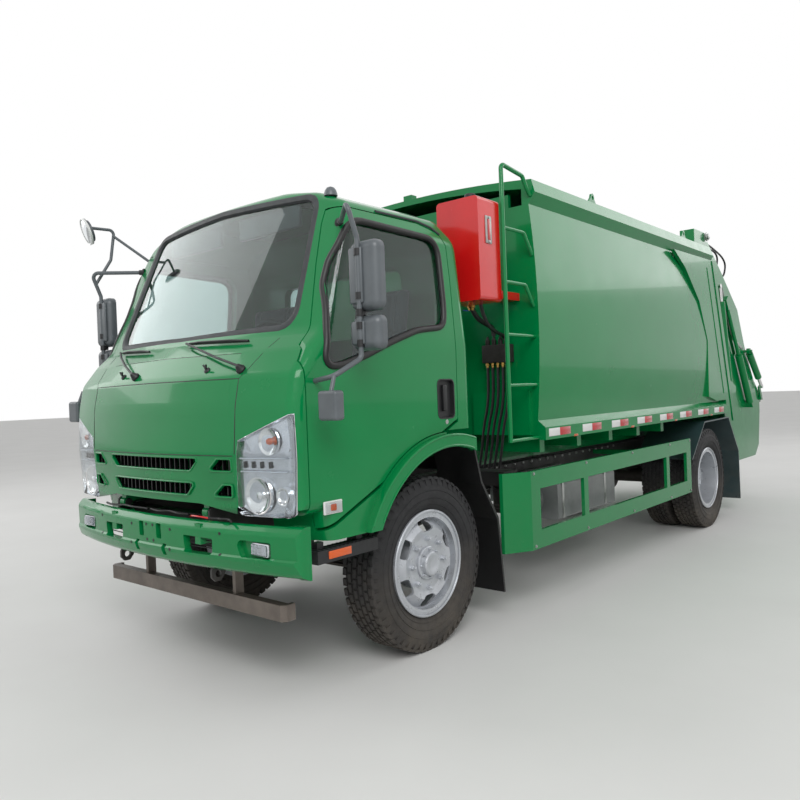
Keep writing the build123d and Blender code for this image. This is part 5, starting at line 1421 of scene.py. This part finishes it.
def door_handle():
    """The left door's handle: a recess with a flat bottom and an upright grip."""
    loops = []
    for grow, x in RECESS_RINGS:
        loops.append([at(x, y, z) for y, z in even_outline(corner_rounded(HANDLE_RECESS, grow), 60)])
    cup = skin(loops)
    bottom = [(y / 1000, z / 1000) for y, z in even_outline(corner_rounded(HANDLE_RECESS, -2), 60)]
    plane = Matrix(((0, 0, 1, 0.9975), (1, 0, 0, FRONT_AXLE_Y), (0, 1, 0, 0), (0, 0, 0, 1)))
    floor = cut_plate(bottom, 0.002, plane)
    grip = slab(at(993, 90, 1322), at(1017, 123, 1470), 7, 3)
    modify(cup, "SOLIDIFY", thickness=0.002, offset=0)
    return joined([cup, floor, grip])


def kerb_mirror():
    """The glass and the rim of the dish mirror over the right front corner."""
    look = Vector((-0.25, -0.9, -0.35)).normalized()
    dish = at(-1196, -800, 2578)
    glass = [(0.0115, 0.079), (0.0145, 0.078), (0.019, 0.06), (0.022, 0.036), (0.023, 0.008)]
    finished(turned(dish, look, glass, 40), "kerb_mirror_glass", "right_door", MIRROR_SILVER, 60)
    rim = [(0.004, 0.086), (0.016, 0.0885), (0.019, 0.084), (0.016, 0.079), (0.010, 0.079)]
    finished(ring(dish, look, rim, 40), "kerb_mirror_rim", "right_door", WHITE_PLASTIC, 50)


def mirror_clamps():
    """The clamps of the mirror heads on their tube and the tube's feet on the door."""
    x, y = MIRROR_TUBE
    clamps = []
    for z in (2085, 1885, 1748, 1668, 1808):
        clamps.append(turned(at(x, y, z), UP, [(-0.016, 0.0175), (0.016, 0.0175)], 20))
        clamps.append(slab(at(x - 9, y - 2, z - 13), at(x + 9, y + 34, z + 13), 3))
    for start, end in (((912, -575, 2290), (935, -596, 2291)), ((985, -880, 1500), (1012, -882, 1502))):
        a, b = at(*start), at(*end)
        foot = [(-0.004, 0.026), (0.006, 0.026), (0.010, 0.017), ((b - a).length, 0.0165)]
        clamps.append(turned(a, b - a, foot, 20))
    return joined(clamps)


def drip_rail():
    """The rubber rail over the left door; places that miss the cab are left out."""
    points = []
    for y, z in DRIP_RAIL:
        for step in (0, 10, 20, 30):
            found = meet(("cab_shell",), at(1600, y - step * 0.6, z + step * 0.4), -ACROSS)
            if found and abs(found[2].x) > 0.25:
                points.append(found[1] + ACROSS * 0.003)
                break
    return line_piece(points, 0.0075)


def flare_ridges():
    """Two raised lines round the left wheel flare."""
    ridges = []
    for radius, size, x in ((698, 0.006, 1059), (757, 0.007, 1058)):
        points = []
        for step in range(49):
            angle = math.radians(-72 + 158 * step / 48)
            y = ARCH_CENTRE[0] + radius * math.sin(angle)
            z = ARCH_CENTRE[1] + radius * math.cos(angle)
            if -790 < y < 326 and z > 772:
                points.append(at(x, y, z))
        ridges.append(line_piece(points, size))
    return joined(ridges)


class GARBAGETRUCK_OT_door_trim(bpy.types.Operator):
    """Makes the door handles, side lamps, mirror parts, drip rails, flare ridges and step reflectors"""

    bl_idname = "garbage_truck.door_trim"
    bl_label = "Door trim"

    def execute(self, context):
        both_sides(door_handle(), "door_handle", "{side}_door", BLACK_PLASTIC)
        lock = turned(
            at(1017.5, 106, 1262), ACROSS, [(0, 0.013), (0.003, 0.013), (0.004, 0.010), (0.003, 0.003)], 20
        )
        both_sides(lock, "door_lock", "{side}_door", ZINC)

        both_sides(
            plate_on_side(-862, -742, 884, 946, 1014, 10, 5), "side_lamp_base", "{side}_door", WHITE_BASE
        )
        both_sides(
            plate_on_side(-856, -748, 890, 940, 1023, 6, 4), "side_lamp_lens", "{side}_door", CLEAR_LENS
        )
        both_sides(
            plate_on_side(-822, -786, 900, 930, 1021, 6, 5), "side_lamp_bulb", "{side}_door", ORANGE_LENS
        )

        glasses = []
        for low, high in ((1832, 2126), (1649, 1782)):
            glasses.append(slab(at(1119, -672.5, low), at(1276, -669.5, high), 1.2))
        both_sides(joined(glasses), "mirror_glasses", "{side}_door", MIRROR_SILVER)
        backs = []
        for low, high, front, edge in ((1850, 2108, -746, 9), (1662, 1770, -744, 8)):
            backs.append(slab(at(1124, front, low), at(1205, -733, high), edge, 3))
        both_sides(joined(backs), "mirror_back_plates", "{side}_door", MIRROR_PLASTIC)
        kerb_mirror()
        both_sides(mirror_clamps(), "mirror_clamps", "{side}_door", BLACK_PLASTIC)
        both_sides(drip_rail(), "door_drip_rail", "cab", SEAL_RUBBER)
        both_sides(flare_ridges(), "wheel_flare_ridges", "cab", GREEN_PAINT)
        both_sides(plate_on_side(-846, -698, 680, 716, 1024, 4, 1.5), "step_reflector", "cab", ORANGE_LENS)
        treads = []
        for index in range(14):
            y = -900 + index * 28
            treads.append(slab(at(952, y, 724), at(1018, y + 14, 728.5), 1.5))
        both_sides(joined(treads), "step_treads", "cab", BLACK_PLASTIC)
        return {"FINISHED"}


class GARBAGETRUCK_OT_cab_inside(bpy.types.Operator):
    """Makes the dashboard's hood and tray, the steering wheel's cover, the sun visors and the roof dome"""

    bl_idname = "garbage_truck.cab_inside"
    bl_label = "Cab inside"

    def execute(self, context):
        hood = slab(at(330, -905, 1640), at(660, -700, 1712), 26, 4)
        screen = slab(at(-60, -800, 1560), at(140, -770, 1660), 8)
        glove = slab(at(-640, -790, 1470), at(-220, -760, 1580), 10)
        finished(joined([hood, screen, glove]), "dashboard_hood", "cab", BLACK_PLASTIC)
        tube, reach = 0.017, 0.215
        section = []
        for k in range(12):
            angle = 2 * math.pi * k / 12
            section.append((tube * math.sin(angle), reach + tube * math.cos(angle)))
        rim = ring(Vector((0, 0, 0)), UP, section, 64)
        boss = turned((0, 0, 0), UP, [(-0.02, 0.05), (0.018, 0.062), (0.026, 0.05), (0.03, 0.01)], 32)
        wheel = joined([rim, boss])
        lean = Vector((0, 330, 190)).to_track_quat("Z", "Y").to_matrix().to_4x4()
        wheel.matrix_world = Matrix.Translation(at(495, -600, 1640)) @ lean
        finished(wheel, "steering_wheel_cover", "cab", BLACK_PLASTIC)
        visors = []
        for x0, x1 in ((90, 600), (-600, -90)):
            visors.append(slab(at(x0, -560, 2330), at(x1, -535, 2450), 8))
        finished(joined(visors), "sun_visors", "cab", VISOR_CLOTH)
        trays = [
            slab(at(120, -890, 1700), at(330, -760, 1712), 3),
            slab(at(-420, -900, 1692), at(-260, -800, 1722), 6),
        ]
        finished(joined(trays), "dashboard_tray", "cab", WHITE_PLASTIC)
        place = surface("cab_shell").ray_cast(at(780, -500, 3000), -UP)[0]
        dome = [(0, 0.036), (0.010, 0.035), (0.028, 0.030), (0.042, 0.020), (0.048, 0.006)]
        finished(turned(place - UP * 0.002, UP, dome, 28), "roof_antenna_base", "cab", MIRROR_PLASTIC)
        return {"FINISHED"}


# Seats

# Name, its two edges across, and where its seams run
SEATS = (("driver", 250, 740, (355, 635)), ("passenger", -740, 60, (-340, -620, -60)))
CLOTH_FRAMES = 20


def cushion(low, high, edge, lean=0.0):
    """A cushion's starting block with rounded edges; lean moves its top rearwards."""
    block = slab(low, high, edge, 3)
    for vertex in block.data.vertices:
        vertex.co.y += lean * (vertex.co.z - low.z) / (high.z - low.z)
    return block


def padded(piece, cap, grooves, axis):
    """Swells a cushion by a short cloth run, then presses its sewn channels in."""
    piece.data.remesh_voxel_size = settings().trim.voxel
    pick(piece)
    bpy.ops.object.voxel_remesh()
    rest = [v.co.copy() for v in piece.data.vertices]
    bpy.ops.object.modifier_add(type="CLOTH")
    cloth = piece.modifiers[-1]
    cloth.settings.use_pressure = True
    cloth.settings.uniform_pressure_force = 4
    cloth.settings.effector_weights.gravity = 0
    cloth.point_cache.frame_start = 1
    cloth.point_cache.frame_end = CLOTH_FRAMES
    scene = bpy.context.scene
    for step in range(1, CLOTH_FRAMES + 1):
        scene.frame_set(step)
    shaped = piece.evaluated_get(bpy.context.evaluated_depsgraph_get())
    swollen = [v.co.copy() for v in shaped.data.vertices]
    bpy.ops.object.modifier_remove(modifier=cloth.name)
    scene.frame_set(1)
    for vertex, old, new in zip(piece.data.vertices, rest, swollen):
        move = new - old
        if move.length > cap:
            move *= cap / move.length
        vertex.co = old + move
    for vertex in piece.data.vertices:
        normal = vertex.normal
        for way, place, width, depth in grooves:
            gap = abs(vertex.co[way] - place)
            if gap < width and normal[axis[0]] * axis[1] > 0.3:
                vertex.co -= normal * depth * (1 - gap / width)
    modify(piece, "SUBSURF", levels=1, render_levels=1)
    return piece


class GARBAGETRUCK_OT_seats(bpy.types.Operator):
    """Makes the padded seats in place of the plain ones"""

    bl_idname = "garbage_truck.seats"
    bl_label = "Seats"

    def execute(self, context):
        for name, x0, x1, seams in SEATS:
            base = cushion(at(x0 + 12, -408, 1372), at(x1 - 12, 48, 1494), 34)
            across = [(0, at(x, 0, 0).x, 0.014, 0.012) for x in seams]
            padded(base, 0.016, across, (2, 1))
            finished(base, name + "_seat_base", "cab", SEAT_CLOTH, 180)
            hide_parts("seats")
            back = cushion(at(x0 + 34, 62, 1512), at(x1 - 34, 142, 2062), 28, lean=0.092)
            padded(back, 0.014, across + [(2, 1.80, 0.014, 0.010)], (1, -1))
            finished(back, name + "_seat_back", "cab", SEAT_CLOTH, 180)
            box = slab(at(x0 + 6, -410, 1251), at(x1 - 6, 50, 1366), 8)
            finished(box, name + "_seat_box", "cab", BLACK_PLASTIC)
        return {"FINISHED"}


# Load body

GAUGE_BOLT = [(0, 0.008), (0.006, 0.008), (0.007, 0.003)]
FILLER_NECK = [(0, 0.05), (0.008, 0.05), (0.008, 0.032), (0.020, 0.032)]
FILLER_CAP = [(0, 0.036), (0.018, 0.036), (0.024, 0.030), (0.025, 0.008)]
HATCH = [(0, 0.062), (0.008, 0.062), (0.008, 0.05), (0.012, 0.048)]
HATCH_BOLTS = 6
SPOOL = [(0, 0.016), (0.035, 0.016), (0.040, 0.012), (0.06, 0.006), (0.062, 0.002)]
VALVE_FITTING = [(-0.004, 0.014), (0.018, 0.014), (0.020, 0.010), (0.034, 0.010)]
TANK_TAP = [(-0.004, 0.026), (0.012, 0.026), (0.014, 0.018), (0.03, 0.018)]
# How far a valve hose runs inwards, how far along and how high, from top to bottom
VALVE_HOSE = (
    (0, 985, 1585), (0, 985, 1420), (20, 990, 1300), (60, 1000, 1180), (90, 1006, 1000), (120, 1010, 872)
)
FEED_HOSES = (
    (0.016, ((800, 700, 1972), (800, 740, 1900), (792, 900, 1860), (780, 985, 1840), (778, 985, 1790))),
    (0.012, ((880, 690, 1972), (880, 730, 1860), (872, 880, 1800), (860, 985, 1790), (860, 985, 1760))),
)


def sill_trim():
    """The reflectors and marker lamps along the body's sills."""
    white, red, lamps = [], [], []
    for index in range(8):
        start = 1070 + index * 478
        white.append(plate_on_side(start, start + 148, 1112, 1164, 1120, 2, 0.6))
        red.append(plate_on_side(start + 150, start + 298, 1112, 1164, 1120, 2, 0.6))
    for y in (1420, 2380, 3330, 4300):
        lamps.append(plate_on_side(y, y + 62, 1089, 1107, 1108, 12, 3))
    both_sides(joined(white), "sill_white_reflectors", "chassis", WHITE_LENS)
    both_sides(joined(red), "sill_red_reflectors", "chassis", RED_LENS)
    both_sides(joined(lamps), "sill_marker_lamps", "chassis", ORANGE_LENS)


def oil_tank_trim():
    """The gauge, filler and hatch of the oil tank."""
    finished(plate_on_side(520, 584, 2312, 2478, 1044.5, 8, 3), "oil_gauge_frame", "chassis", ZINC)
    finished(plate_on_side(538, 566, 2332, 2458, 1052, 3, 1), "oil_gauge_glass", "chassis", RED_GAUGE)
    bolts = [turned(at(1052, 552, z), ACROSS, GAUGE_BOLT, 6) for z in (2322, 2468)]
    finished(joined(bolts), "oil_gauge_bolts", "chassis", ZINC)
    finished(turned(at(930, 545, 2588), UP, FILLER_NECK, 32), "oil_filler_neck", "chassis", ZINC)
    finished(turned(at(930, 545, 2606), UP, FILLER_CAP, 24), "oil_filler_cap", "chassis", BLACK_PLASTIC)
    flange = turned(at(820, 565, 2589), UP, HATCH, 32)
    bolt = turned(at(820, 619, 2596), UP, [(0, 0.007), (0.006, 0.007)], 6)
    round_about(bolt, HATCH_BOLTS, at(820, 565, 2596), UP)
    finished(joined([flange, bolt]), "oil_tank_hatch", "chassis", RED_PAINT)


def valve_trim():
    """The valve block with its fittings and hoses."""
    block = [slab(at(700, 948, 1610), at(905, 1029, 1730), 6)]
    for x in (728, 778, 828, 878):
        block.append(turned(at(x, 985, 1728), UP, SPOOL, 16))
    finished(joined(block), "valve_block", "chassis", CAST_IRON)
    fittings, hoses = [], []
    for x in (722, 762, 802, 842, 882):
        fittings.append(turned(at(x, 985, 1612), -UP, VALVE_FITTING, 6))
        hoses.append(line_piece([at(x - inwards, y, z) for inwards, y, z in VALVE_HOSE], 0.0095, smooth=True))
    finished(joined(fittings), "valve_fittings", "chassis", BRASS)
    finished(joined(hoses), "valve_hoses", "chassis", HOSE_RUBBER)


class GARBAGETRUCK_OT_body_trim(bpy.types.Operator):
    """Makes the reflectors, marker lamps, tank fittings, valves and hoses of the load body"""

    bl_idname = "garbage_truck.body_trim"
    bl_label = "Body trim"

    def execute(self, context):
        sill_trim()
        oil_tank_trim()
        valve_trim()
        feed = [line_piece([at(*p) for p in route], radius, smooth=True) for radius, route in FEED_HOSES]
        finished(joined(feed), "tank_feed_hoses", "chassis", HOSE_RUBBER)
        tap = turned(at(800, 700, 1972), -UP, TANK_TAP, 8)
        handle = slab(at(796, 672, 1936), at(804, 612, 1942), 1.5)
        finished(tap, "tank_tap", "chassis", BRASS)
        finished(handle, "tank_tap_handle", "chassis", BLUE_PAINT)
        return {"FINISHED"}


# Tailgate

# Place across, how much further or nearer the loop reaches, and where it ends along the truck
HOSES = ((930, 0.0, 5300), (890, -0.05, 5210))
HOSE_END = [(-0.012, 0.012), (0.0, 0.016), (0.02, 0.016), (0.022, 0.0125), (0.052, 0.0125)]
SIDE_PIPE = ((5130, 2470), (5300, 2180), (5480, 1900), (5700, 1840), (5830, 1790))
HINGE_PIN = [(-0.004, 0.045), (0.006, 0.045), (0.008, 0.03), (0.022, 0.03), (0.024, 0.024), (0.026, 0.006)]


def hose_points(start, end, side, reach):
    """The line of a hose that leaves the top rearwards, drops and comes back to the tailgate."""
    return [
        start, start + Vector((0, 0.07, 0.012)), start + Vector((side * 0.01, 0.26 + reach, -0.005)),
        Vector((start.x + side * 0.03, end.y + 0.20 + reach, end.z + 0.22)),
        Vector((start.x + side * 0.02, end.y + 0.17 + reach, end.z + 0.05)),
        end + Vector((0, 0.07, 0.012)), end,
    ]


def hose_end(place, way):
    """The fitting and the bracket at an end of a hose."""
    fitting = turned(place - way.normalized() * 0.03, way, HOSE_END, 12)
    bracket = slab(place + Vector((-0.013, -0.052, -0.034)), place + Vector((0.013, -0.024, 0.012)), 3)
    return [fitting, bracket]


def curve_length(piece):
    """The length of a curve's own line, in metres."""
    line = piece.data.copy()
    line.bevel_depth = 0
    holder = bpy.data.objects.new("line", line)
    mesh = bpy.data.meshes.new_from_object(holder)
    total = 0
    for edge in mesh.edges:
        first, second = edge.vertices
        total += (mesh.vertices[first].co - mesh.vertices[second].co).length
    bpy.data.objects.remove(holder)
    bpy.data.curves.remove(line)
    bpy.data.meshes.remove(mesh)
    return total


class GARBAGETRUCK_OT_tailgate_hoses(bpy.types.Operator):
    """Makes the hydraulic hose loops over the tailgate and the pipes down its sides"""

    bl_idname = "garbage_truck.tailgate_hoses"
    bl_label = "Tailgate hoses"

    def execute(self, context):
        thick = settings().trim.hose
        for side, word in ((1, "left"), (-1, "right")):
            fittings = []
            for index, (x, reach, low_y) in enumerate(HOSES):
                start = on_top("tailgate_shell", side * x, 4800) + Vector((0, 0.012, 0.03))
                end = on_top("tailgate_shell", side * x, low_y) + UP * 0.03
                name = f"{word}_tailgate_hose_{index + 1}"
                points = hose_points(start, end, side, reach)
                hose = round_curve(name, points, thick / 2, True, resolution=12, sides=4)
                hose.data.materials.append(bpy.data.materials["hose rubber"])
                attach(hose, "tailgate")
                length = curve_length(hose)
                fittings += hose_end(start, Vector((0, 1, 0.15)))
                fittings += hose_end(end, Vector((0, 1, 0.2)))
            finished(joined(fittings), f"{word}_tailgate_hose_fittings", "tailgate", ZINC)
        pipes = []
        for shift in (0, 34):
            pipes.append(line_piece([at(1004, y + shift, z) for y, z in SIDE_PIPE], 0.008, smooth=True))
        both_sides(joined(pipes), "tailgate_side_pipes", "tailgate", ZINC)
        return {"FINISHED"}


class GARBAGETRUCK_OT_tailgate_trim(bpy.types.Operator):
    """Makes the tail lamp frames, the reversing and turn lamps and the ends of the hinge pins"""

    bl_idname = "garbage_truck.tailgate_trim"
    bl_label = "Tailgate trim"

    def execute(self, context):
        points = [v.co for v in NODES["tail_lamps"].data.vertices if v.co.x > 0]
        low = Vector([min(p[k] for p in points) for k in range(3)])
        high = Vector([max(p[k] for p in points) for k in range(3)])
        frames = []
        margin = 0.008
        rear = high.y
        for z0, z1 in ((low.z - margin, low.z), (high.z, high.z + margin)):
            frames.append(slab((low.x - margin, rear - 0.03, z0), (high.x + margin, rear + 0.004, z1), 2))
        for x0, x1 in ((low.x - margin, low.x), (high.x, high.x + margin)):
            frames.append(slab((x0, rear - 0.03, low.z - margin), (x1, rear + 0.004, high.z + margin), 2))
        both_sides(joined(frames), "tail_lamp_frame", "tailgate", HOSE_RUBBER)
        third = (high.x - low.x) / 3
        gap = 0.003
        bottom, top = low.z + gap, high.z - gap
        lamp = slab((low.x + gap, rear - 0.002, bottom), (low.x + third, rear + 0.004, top), 2)
        both_sides(lamp, "reversing_lamp", "tailgate", WHITE_LENS)
        lamp = slab((high.x - third, rear - 0.002, bottom), (high.x - gap, rear + 0.004, top), 2)
        both_sides(lamp, "rear_turn_lamp", "tailgate", ORANGE_LENS)
        hinge = at(0, 4600, 2905)
        pins = [turned(hinge + ACROSS * x, ACROSS, HINGE_PIN, 28) for x in (1.046, 1.0)]
        both_sides(joined(pins), "hinge_pin_end", "chassis", ZINC)
        return {"FINISHED"}


# Chassis

RAIL_BOLT = [(-0.002, 0.012), (0.003, 0.012), (0.004, 0.009), (0.010, 0.009), (0.011, 0.004)]
GUARD_BOLT = [(-0.003, 0.011), (0.002, 0.011), (0.003, 0.008), (0.007, 0.008), (0.008, 0.003)]
TANK_STRAP = [(-0.014, 0.1255), (0.014, 0.1255), (0.014, 0.1285), (-0.014, 0.1285)]
FILTER_HEAD = [(-0.004, 0.066), (0.028, 0.066), (0.034, 0.058), (0.05, 0.05), (0.058, 0.036), (0.060, 0.008)]
FILTER_DRAIN = [(-0.002, 0.018), (0.012, 0.018), (0.014, 0.010), (0.028, 0.010), (0.029, 0.004)]
FILTER_RIB = [(-0.004, 0.0615), (0.0, 0.0655), (0.004, 0.0615), (0.0, 0.060)]


class GARBAGETRUCK_OT_chassis_trim(bpy.types.Operator):
    """Makes the bolts, straps, filter head, brake pipes and spring clamps of the chassis"""

    bl_idname = "garbage_truck.chassis_trim"
    bl_label = "Chassis trim"

    def execute(self, context):
        bolts = []
        for y in list(range(1100, 3700, 130)) + list(range(4500, 5000, 120)):
            for z in (700, 840):
                bolts.append(turned(at(425, y, z), ACROSS, RAIL_BOLT, 6))
        both_sides(joined(bolts), "frame_rail_bolts", "chassis", ZINC)

        straps = []
        for y in (1385, 1475):
            straps.append(ring(at(690, y, 620), ALONG, TANK_STRAP, 48))
        for y in (1640, 1980, 2340):
            straps.append(slab(at(461, y - 16, 728), at(903, y + 16, 734), 1.5))
            straps.append(slab(at(898, y - 16, 472), at(904, y + 16, 732), 1.5))
        finished(joined(straps), "tank_and_box_straps", "chassis", ZINC)

        head = turned(at(895, 840, 822), UP, FILTER_HEAD, 36)
        drain = turned(at(895, 840, 640), -UP, FILTER_DRAIN, 12)
        ribs = [ring(at(895, 840, z), UP, FILTER_RIB, 36) for z in (668, 690, 780, 800)]
        finished(joined([head, drain]), "filter_head", "chassis", ZINC)
        finished(joined(ribs), "filter_ribs", "chassis", CHASSIS_PAINT)

        pipes = []
        for z, x in ((868, 430), (856, 432), (700, 431)):
            points = [at(x, 900 + 400 * k, z + (5 if k % 2 else -3)) for k in range(10)]
            pipes.append(line_piece(points, 0.006, smooth=True))
        both_sides(joined(pipes), "brake_pipes", "chassis", HOSE_RUBBER)
        clips = []
        for axle_y in (0, WHEELBASE):
            for y in (axle_y - 62, axle_y + 62):
                clip = [at(372, y, 560), at(372, y, 655), at(448, y, 655), at(448, y, 560)]
                clips.append(line_piece(clip, 0.008))
        both_sides(joined(clips), "spring_clamp_bolts", "chassis", CAST_IRON)

        guard = []
        for y in (870, 1600, 2400, 3200, 3700):
            for z in (430, 890):
                guard.append(turned(at(1111, y, z), ACROSS, GUARD_BOLT, 6))
        both_sides(joined(guard), "side_guard_bolts", "chassis", ZINC)
        return {"FINISHED"}


# The order of the steps, the sidebar and the start

STEPS = [
    GARBAGETRUCK_OT_stage,
    GARBAGETRUCK_OT_finishes,
    GARBAGETRUCK_OT_tyres,
    GARBAGETRUCK_OT_wheels,
    GARBAGETRUCK_OT_seals,
    GARBAGETRUCK_OT_headlamps,
    GARBAGETRUCK_OT_panel_lines,
    GARBAGETRUCK_OT_front_trim,
    GARBAGETRUCK_OT_door_trim,
    GARBAGETRUCK_OT_cab_inside,
    GARBAGETRUCK_OT_seats,
    GARBAGETRUCK_OT_body_trim,
    GARBAGETRUCK_OT_tailgate_hoses,
    GARBAGETRUCK_OT_tailgate_trim,
    GARBAGETRUCK_OT_chassis_trim,
]


class GARBAGETRUCK_PT_pieces(bpy.types.Panel):
    """Lists the steps that build the truck, in their order"""

    bl_idname = "GARBAGETRUCK_PT_pieces"
    bl_label = "Garbage truck"
    bl_space_type = "VIEW_3D"
    bl_region_type = "UI"
    bl_category = "Garbage truck"

    def draw(self, context):
        truck = context.scene.garbage_truck
        for group in (truck.colours, truck.tyres, truck.stage, truck.trim):
            box = self.layout.box()
            for name in group.__annotations__:
                box.prop(group, name)
        column = self.layout.column(align=True)
        for operator in STEPS:
            column.operator(operator.bl_idname, text=operator.bl_label)


def main():
    """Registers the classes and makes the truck's pieces in order."""
    register()
    for operator in STEPS:
        group, name = operator.bl_idname.split(".")
        getattr(getattr(bpy.ops, group), name)()


CLASSES = [TruckColours, TyreSizes, StageSizes, TrimSizes, TruckSettings, *STEPS, GARBAGETRUCK_PT_pieces]


def register():
    for item in CLASSES:
        bpy.utils.register_class(item)
    bpy.types.Scene.garbage_truck = PointerProperty(type=TruckSettings)


def unregister():
    del bpy.types.Scene.garbage_truck
    for item in reversed(CLASSES):
        bpy.utils.unregister_class(item)


if __name__ == "__main__":
    main()
